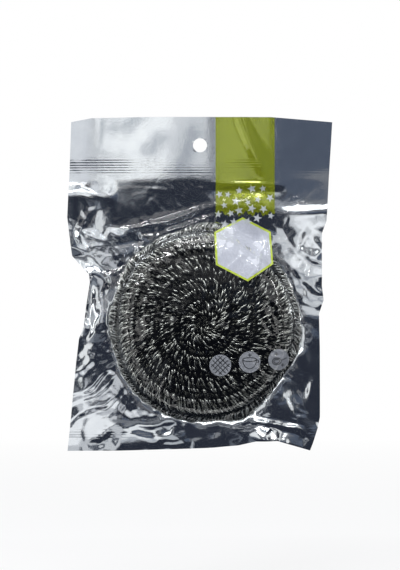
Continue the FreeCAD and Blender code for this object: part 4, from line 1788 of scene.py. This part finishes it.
@dataclass
class Studio:
    """Pale studio: camera, floor, soft lamps, and the panels and cards that the foil mirrors."""

    distance: float = 1.0
    mm_per_pixel: float = 0.57
    hole_pixel: Point = (200.0, 145.3)
    sensor_height: float = 36.0
    white: str = "#ffffff"
    fill_tone: str = "#f8f9fb"
    fill_strength: float = 0.52
    floor_tone: str = "#e9eaec"
    floor_height: float = -0.262
    floor_size: float = 12.0
    # The floor's own shade shows near the object, and fades to white between these distances.
    floor_fade: Point = (0.35, 1.1)
    floor_glow: Point = (0.72, 1.0)
    middle: tuple[float, float, float] = (0.0, 0.0, -0.085)
    # Curved panels round the object, with corners in degrees of azimuth and elevation. Each lies
    # a little before the one that it overlaps.
    panel_distance: float = 1.4
    panel_gap: float = 0.002
    panel_steps: int = 13
    panel_places: tuple[Card, ...] = (
        Card("panel_upper_left", "#2e323d", ((-80, 25), (-58, 25), (-58, 40), (-80, 40))),
        Card("panel_upper_right", "#2e323d", ((26, 25), (80, 25), (80, 40), (26, 40))),
        Card("panel_sky", "#9298a2", ((-80, 40), (80, 40), (80, 66), (-80, 66))),
        Card("panel_above", "#7f8187", ((-28, 14), (28, 14), (28, 25), (-28, 25))),
        Card("panel_ring", "#42464f", ((-28, -8), (28, -8), (28, 14), (-28, 14))),
        Card("panel_right", "#586070", ((5, 3.7), (24, 3.7), (24, 14), (5, 14))),
        Card("panel_far_right", "#30343f", ((36, -8), (52, -8), (52, 19), (36, 19))),
        Card("panel_band", "#30343f", ((-16, -8), (15, -8), (15, 3.7), (-16, 3.7))),
        Card("panel_left", "#30343f", ((-54, -8), (-42, -8), (-42, 24), (-54, 24))),
        Card("panel_top", "#30343f", ((-180, 66), (180, 66), (180, 90), (-180, 90))),
        Card("pale_card", "#cfd0d5", ((-22, 3.7), (-13.2, 3.7), (-13.2, 7.8), (-22, 7.8))),
        Card("lime_card", "#b4b7bd", ((1.0, 3.7), (5.8, 3.7), (3.2, 6.4), (1.0, 6.4))),
        Card("strip_right", "#30343f", ((82, -8), (92, -8), (92, 45), (82, 45))),
        Card("strip_left", "#30343f", ((-94, -8), (-84, -8), (-84, 45), (-94, 45))),
        Card("strip_back_1", "#3c414b", ((116, -8), (126, -8), (122, 40), (112, 40))),
        Card("strip_back_2", "#3c414b", ((160, -8), (170, -8), (176, 24), (166, 24))),
        Card("strip_back_3", "#3c414b", ((196, -8), (206, -8), (212, 34), (202, 34))),
        Card("strip_back_4", "#3c414b", ((234, -8), (242, -8), (238, 40), (230, 40))),
    )
    # Graded backdrop behind the object: lower and upper elevation and tone of each row.
    back_azimuths: Point = (66.0, 294.0)
    back_rows: tuple[tuple[float, float, str], ...] = (
        (-8, -2, "#8d9096"), (-2, 4, "#9a9da2"), (4, 10, "#a8abaf"), (10, 16, "#b6b8bb"),
        (16, 22, "#c4c6c8"), (22, 30, "#d4d5d7"), (30, 38, "#e2e3e4"), (38, 46, "#cbccd0"),
        (46, 56, "#a6a9ae"), (56, 66, "#7c8088"),
    )
    mat_lift: float = 0.004
    mat_gap: float = 0.001
    mat_places: tuple[Mat, ...] = (
        Mat("mat_front", "#30343f", (0.06, -0.76), (1.1, 1.5)),
        Mat("mat_left_1", "#666b75", (-0.185, -0.3), (0.13, 0.5)),
        Mat("mat_left_2", "#959aa2", (-0.37, -0.3), (0.24, 0.5)),
        Mat("mat_back_1", "#6c7077", (0.0, 0.17), (2.4, 0.26)),
        Mat("mat_back_2", "#8a8d93", (0.0, 0.45), (2.4, 0.3)),
        Mat("mat_back_3", "#a8abaf", (0.0, 0.85), (2.4, 0.5)),
    )
    # Flat cards held before the pouch, with corners in millimetres on its plane, to brighten the
    # foil that faces them. The close ones stand so near that the film over the pad hardly mirrors them.
    card_strength: float = 1.2
    card_gap: float = 0.001
    near_distance: float = 0.15
    near_cards: tuple[Card, ...] = (
        Card("card_left", "#dcdde1", ((-128, -7), (-93, -7), (-93, 58), (-128, 58))),
        Card("card_header", "#ffffff", ((-90, -7), (-28, -7), (-20, 58), (-90, 58))),
        Card("card_header_mid", "#d6d7da", ((-28, -7), (8, -7), (8, 58), (-20, 58))),
        Card("card_lime", "#b2b5ba", ((13, -8), (57, -8), (57, 50), (13, 50))),
        Card("lime_shade", "#3c414c", ((44, -12), (57, -12), (40, 52), (27, 52))),
        Card("bar_1", "#757a86", ((-98, -2), (-58, -4), (-58, -1), (-98, 1))),
        Card("bar_2", "#8a8f99", ((-92, 6), (-62, 4), (-62, 6), (-92, 9))),
        Card("cloud_1", "#b9bcc2", ((-52, 6), (-38, 2), (-24, 18), (-34, 22))),
        Card("cloud_2", "#b4b8be", ((-72, 22), (-62, 18), (-40, 32), (-46, 38))),
        Card("cloud_3", "#a3a7ae", ((-22, -6), (-12, -6), (2, 22), (-8, 26))),
        Card("cloud_4", "#9a9fa7", ((-84, 12), (-78, 11), (-70, 30), (-76, 32))),
    )
    close_distance: float = 0.06
    close_cards: tuple[Card, ...] = (
        Card("card_low_left", "#c4c5c9", ((-82, -182), (-50, -182), (-53, -138), (-82, -138))),
        Card("card_bottom", "#b2b5ba", ((-50, -178), (-8, -178), (-12, -160), (-50, -160))),
        Card("card_low_right", "#b5b7bb", ((28, -172), (43, -172), (42, -157), (28, -157))),
        Card("card_right", "#d0d1d4", ((48, -88), (78, -88), (78, -46), (50, -46))),
        Card("card_waist", "#b9babe", ((-72, -106), (-57, -106), (-57, -72), (-72, -72))),
        Card("card_shoulder", "#d2d3d6", ((-78, -69), (-54, -69), (-56, -60), (-78, -61))),
        Card("glow_low_left", "#f0f0f2", ((-82, -164), (-66, -172), (-56, -150), (-70, -140))),
        Card("shade_low_left", "#4a4e58", ((-70, -176), (-63, -176), (-50, -147), (-53, -147))),
        Card("glow_right", "#f4f4f6", ((54, -68), (72, -59), (77, -49), (58, -52))),
        Card("shade_right", "#9a9da4", ((48, -82), (78, -74), (78, -68), (48, -76))),
        Card("glow_bottom", "#e8e8ea", ((-50, -170), (-30, -174), (-22, -162), (-46, -160))),
    )
    lamp_places: tuple[Lamp, ...] = (
        Lamp("key_softbox", (-36, 46, 1.25), (0.3, 0.2), 3.8),
        Lamp("top_softbox", (20, 76, 1.2), (1.1, 0.8), 6.0),
        Lamp("upper_strip", (4, 50, 1.25), (1.4, 0.04), 4.2),
        Lamp("streak_strip", (-12, 31, 1.25), (0.9, 0.13), 1.8),
        Lamp("left_strip", (-58, 14, 1.25), (0.05, 0.8), 0.6),
        Lamp("right_strip", (58, 16, 1.25), (0.04, 0.5), 1.2),
        Lamp("header_card", (-7, 8, 1.3), (0.2, 0.12), 0.018),
        Lamp("back_softbox", (200, 45, 1.25), (0.6, 0.4), 0.9),
        Lamp("back_strip", (150, 15, 1.25), (0.16, 0.7), 0.4),
    )

    def camera(self) -> None:
        """Camera straight in front, framed as the photograph."""
        width, height = PICTURE_SIZE
        shown = height * self.mm_per_pixel * MM
        data = bpy.data.cameras.new("camera")
        data.sensor_fit = "VERTICAL"
        data.sensor_height = self.sensor_height
        data.lens = data.sensor_height * self.distance / shown
        eye = bpy.data.objects.new("camera", data)
        across = (width / 2 - self.hole_pixel[0]) * self.mm_per_pixel * MM
        up = (self.hole_pixel[1] - height / 2) * self.mm_per_pixel * MM
        eye.location = (across, -self.distance, up)
        eye.rotation_euler = (math.pi / 2, 0, 0)
        bpy.context.scene.collection.objects.link(eye)
        bpy.context.scene.camera = eye

    def seen_share(self, tree: bpy.types.NodeTree) -> bpy.types.NodeSocket:
        """One for rays that show the surroundings, straight or in gloss, else zero.

        Args:
            tree: node tree that takes the nodes.

        Returns:
            The output that gives the share.
        """
        path = node(tree, "ShaderNodeLightPath")
        gloss = node(
            tree, "ShaderNodeMath",
            {0: path.outputs["Is Camera Ray"], 1: path.outputs["Is Glossy Ray"]}, operation="MAXIMUM",
        )
        share = node(
            tree, "ShaderNodeMath",
            {0: gloss.outputs["Value"], 1: path.outputs["Is Transmission Ray"]}, operation="MAXIMUM",
        )
        return share.outputs["Value"]

    def world(self) -> None:
        """White surroundings to the eye and in gloss, and a soft fill for the rest."""
        world = bpy.data.worlds.new("studio")
        world.use_nodes = True
        tree = world.node_tree
        tree.nodes.clear()
        output = node(tree, "ShaderNodeOutputWorld")
        fill = node(
            tree, "ShaderNodeBackground", None,
            {"Color": linear(self.fill_tone), "Strength": self.fill_strength},
        )
        white = node(tree, "ShaderNodeBackground", None, {"Color": linear(self.white), "Strength": 1.0})
        mix = node(
            tree, "ShaderNodeMixShader",
            {"Fac": self.seen_share(tree), 1: fill.outputs["Background"], 2: white.outputs["Background"]},
        )
        tree.links.new(mix.outputs["Shader"], output.inputs["Surface"])
        bpy.context.scene.world = world

    def stage_piece(
        self, name: str, points: list, quads: list, material: bpy.types.Material
    ) -> bpy.types.Object:
        """Make a piece of the stage.

        Args:
            name: its name.
            points: its corners, in metres.
            quads: corner numbers of each face.
            material: its finish.

        Returns:
            The object.
        """
        mesh = bpy.data.meshes.new(name)
        mesh.from_pydata(points, [], quads)
        mesh.materials.append(material)
        piece = bpy.data.objects.new(name, mesh)
        bpy.context.scene.collection.objects.link(piece)
        return piece

    def plane(
        self, name: str, centre: tuple[float, float, float], size: Point, material: bpy.types.Material
    ) -> bpy.types.Object:
        """Level, flat piece of the stage.

        Args:
            name: its name.
            centre: its middle, in metres.
            size: its width and depth, in metres.
            material: its finish.

        Returns:
            The object.
        """
        w, h = size[0] / 2, size[1] / 2
        corners = [(-w, -h, 0), (w, -h, 0), (w, h, 0), (-w, h, 0)]
        piece = self.stage_piece(name, corners, [(0, 1, 2, 3)], material)
        piece.location = centre
        return piece

    def floor(self) -> None:
        """Pale matt floor under the hanging pouch."""
        material, tree, output = new_material("pale_floor")
        matt = node(tree, "ShaderNodeBsdfDiffuse", None, {"Color": linear(self.floor_tone)})
        glow = node(tree, "ShaderNodeEmission", None, {"Color": linear(self.white), "Strength": 1.0})
        place = node(tree, "ShaderNodeTexCoord")
        away = node(tree, "ShaderNodeVectorMath", {0: place.outputs["Object"]}, operation="LENGTH")
        fade = node(
            tree, "ShaderNodeMapRange", {"Value": away.outputs["Value"]},
            {
                "From Min": self.floor_fade[0], "From Max": self.floor_fade[1],
                "To Min": self.floor_glow[0], "To Max": self.floor_glow[1],
            },
        )
        share = node(
            tree, "ShaderNodeMath", {0: self.seen_share(tree), 1: fade.outputs["Result"]},
            operation="MULTIPLY",
        )
        mix = node(
            tree, "ShaderNodeMixShader",
            {"Fac": share.outputs["Value"], 1: matt.outputs["BSDF"], 2: glow.outputs["Emission"]},
        )
        tree.links.new(mix.outputs["Shader"], output.inputs["Surface"])
        self.plane("floor", (0, 0, self.floor_height), (self.floor_size, self.floor_size), material)

    def toward(self, azimuth: float, elevation: float, distance: float) -> Vector:
        """Point at a distance from the object's middle.

        Args:
            azimuth: degrees to the right of the camera's side.
            elevation: degrees up.
            distance: metres from the middle.

        Returns:
            The point.
        """
        a, e = math.radians(azimuth), math.radians(elevation)
        way = Vector((math.sin(a) * math.cos(e), -math.cos(a) * math.cos(e), math.sin(e)))
        return Vector(self.middle) + way * distance

    def panels(self) -> None:
        """Curved panels and graded rows round the object, which only gloss shows."""
        start, end = self.back_azimuths
        rows = [
            Card(f"row_back_{number}", tone, ((start, low), (end, low), (end, high), (start, high)))
            for number, (low, high, tone) in enumerate(self.back_rows, 1)
        ]
        shares = np.linspace(0, 1, self.panel_steps)
        quads = grid_quads(self.panel_steps, self.panel_steps).tolist()
        for index, (name, tone, corners) in enumerate([*rows, *self.panel_places]):
            (a, b, c, d) = [np.array(corner, dtype=float) for corner in corners]
            distance = self.panel_distance - self.panel_gap * index
            points = []
            for v in shares:
                for u in shares:
                    spot = (a * (1 - u) + b * u) * (1 - v) + (d * (1 - u) + c * u) * v
                    points.append(self.toward(*spot, distance))
            self.show_in_gloss(self.stage_piece(name, points, quads, self.cloth(name, tone)))

    def cards(self) -> None:
        """Flat cards before the pouch, which only gloss shows."""
        cards = [(self.near_distance, *card) for card in self.near_cards]
        cards += [(self.close_distance, *card) for card in self.close_cards]
        for index, (distance, name, tone, corners) in enumerate(cards):
            points = [(x * MM, self.card_gap * index - distance, z * MM) for x, z in corners]
            material = self.cloth(name, tone, self.card_strength)
            self.show_in_gloss(self.stage_piece(name, points, [(0, 1, 2, 3)], material))

    def mats(self) -> None:
        """Mats on the floor, which only gloss shows."""
        for index, (name, tone, middle, size) in enumerate(self.mat_places):
            centre = (*middle, self.floor_height + self.mat_lift + self.mat_gap * index)
            self.show_in_gloss(self.plane(name, centre, size, self.cloth(name, tone)))

    def cloth(self, name: str, tone: str, strength: float = 1.0) -> bpy.types.Material:
        """Evenly lit studio cloth of one tone.

        Args:
            name: name of the stage piece.
            tone: its colour.
            strength: how brightly it is lit.

        Returns:
            The material.
        """
        material, tree, output = new_material(f"{name}_cloth")
        light = node(tree, "ShaderNodeEmission", None, {"Color": linear(tone), "Strength": strength})
        tree.links.new(light.outputs["Emission"], output.inputs["Surface"])
        return material

    def show_in_gloss(self, piece: bpy.types.Object) -> None:
        """Leave a stage piece to gloss alone, so that it takes no light from the object.

        Args:
            piece: the stage piece.
        """
        piece.visible_camera = False
        piece.visible_diffuse = False
        piece.visible_shadow = False
        piece.visible_transmission = False

    def lamps(self) -> None:
        """Soft lamps from the upper left, above, both sides and behind."""
        for name, place, size, power in self.lamp_places:
            data = bpy.data.lights.new(name, "AREA")
            data.shape = "RECTANGLE"
            data.size, data.size_y = size
            data.energy = power
            lamp = bpy.data.objects.new(name, data)
            lamp.location = self.toward(*place)
            way = Vector(self.middle) - lamp.location
            lamp.rotation_euler = way.to_track_quat("-Z", "Y").to_euler()
            lamp.visible_camera = False
            bpy.context.scene.collection.objects.link(lamp)

    def build(self) -> None:
        """Set up the whole studio."""
        bpy.context.scene.view_settings.view_transform = "Standard"
        self.camera()
        self.world()
        self.floor()
        self.panels()
        self.cards()
        self.mats()
        self.lamps()


def main() -> None:
    """Build the studio, the pad, the films and the prints, in that order."""
    logging.basicConfig(level=logging.INFO, format="%(name)s: %(message)s")
    Studio().build()
    pad = WirePad()
    wires = pad.build(SteelWire())
    pouch = Pouch(pad)
    films = pouch.build(ClearFilm(), MetallisedFilm(), wires)
    prints = Prints(pouch).build()
    log.info("%d wire pieces, %d films, %d printed areas", len(wires), len(films), len(prints))


if __name__ == "__main__":
    main()
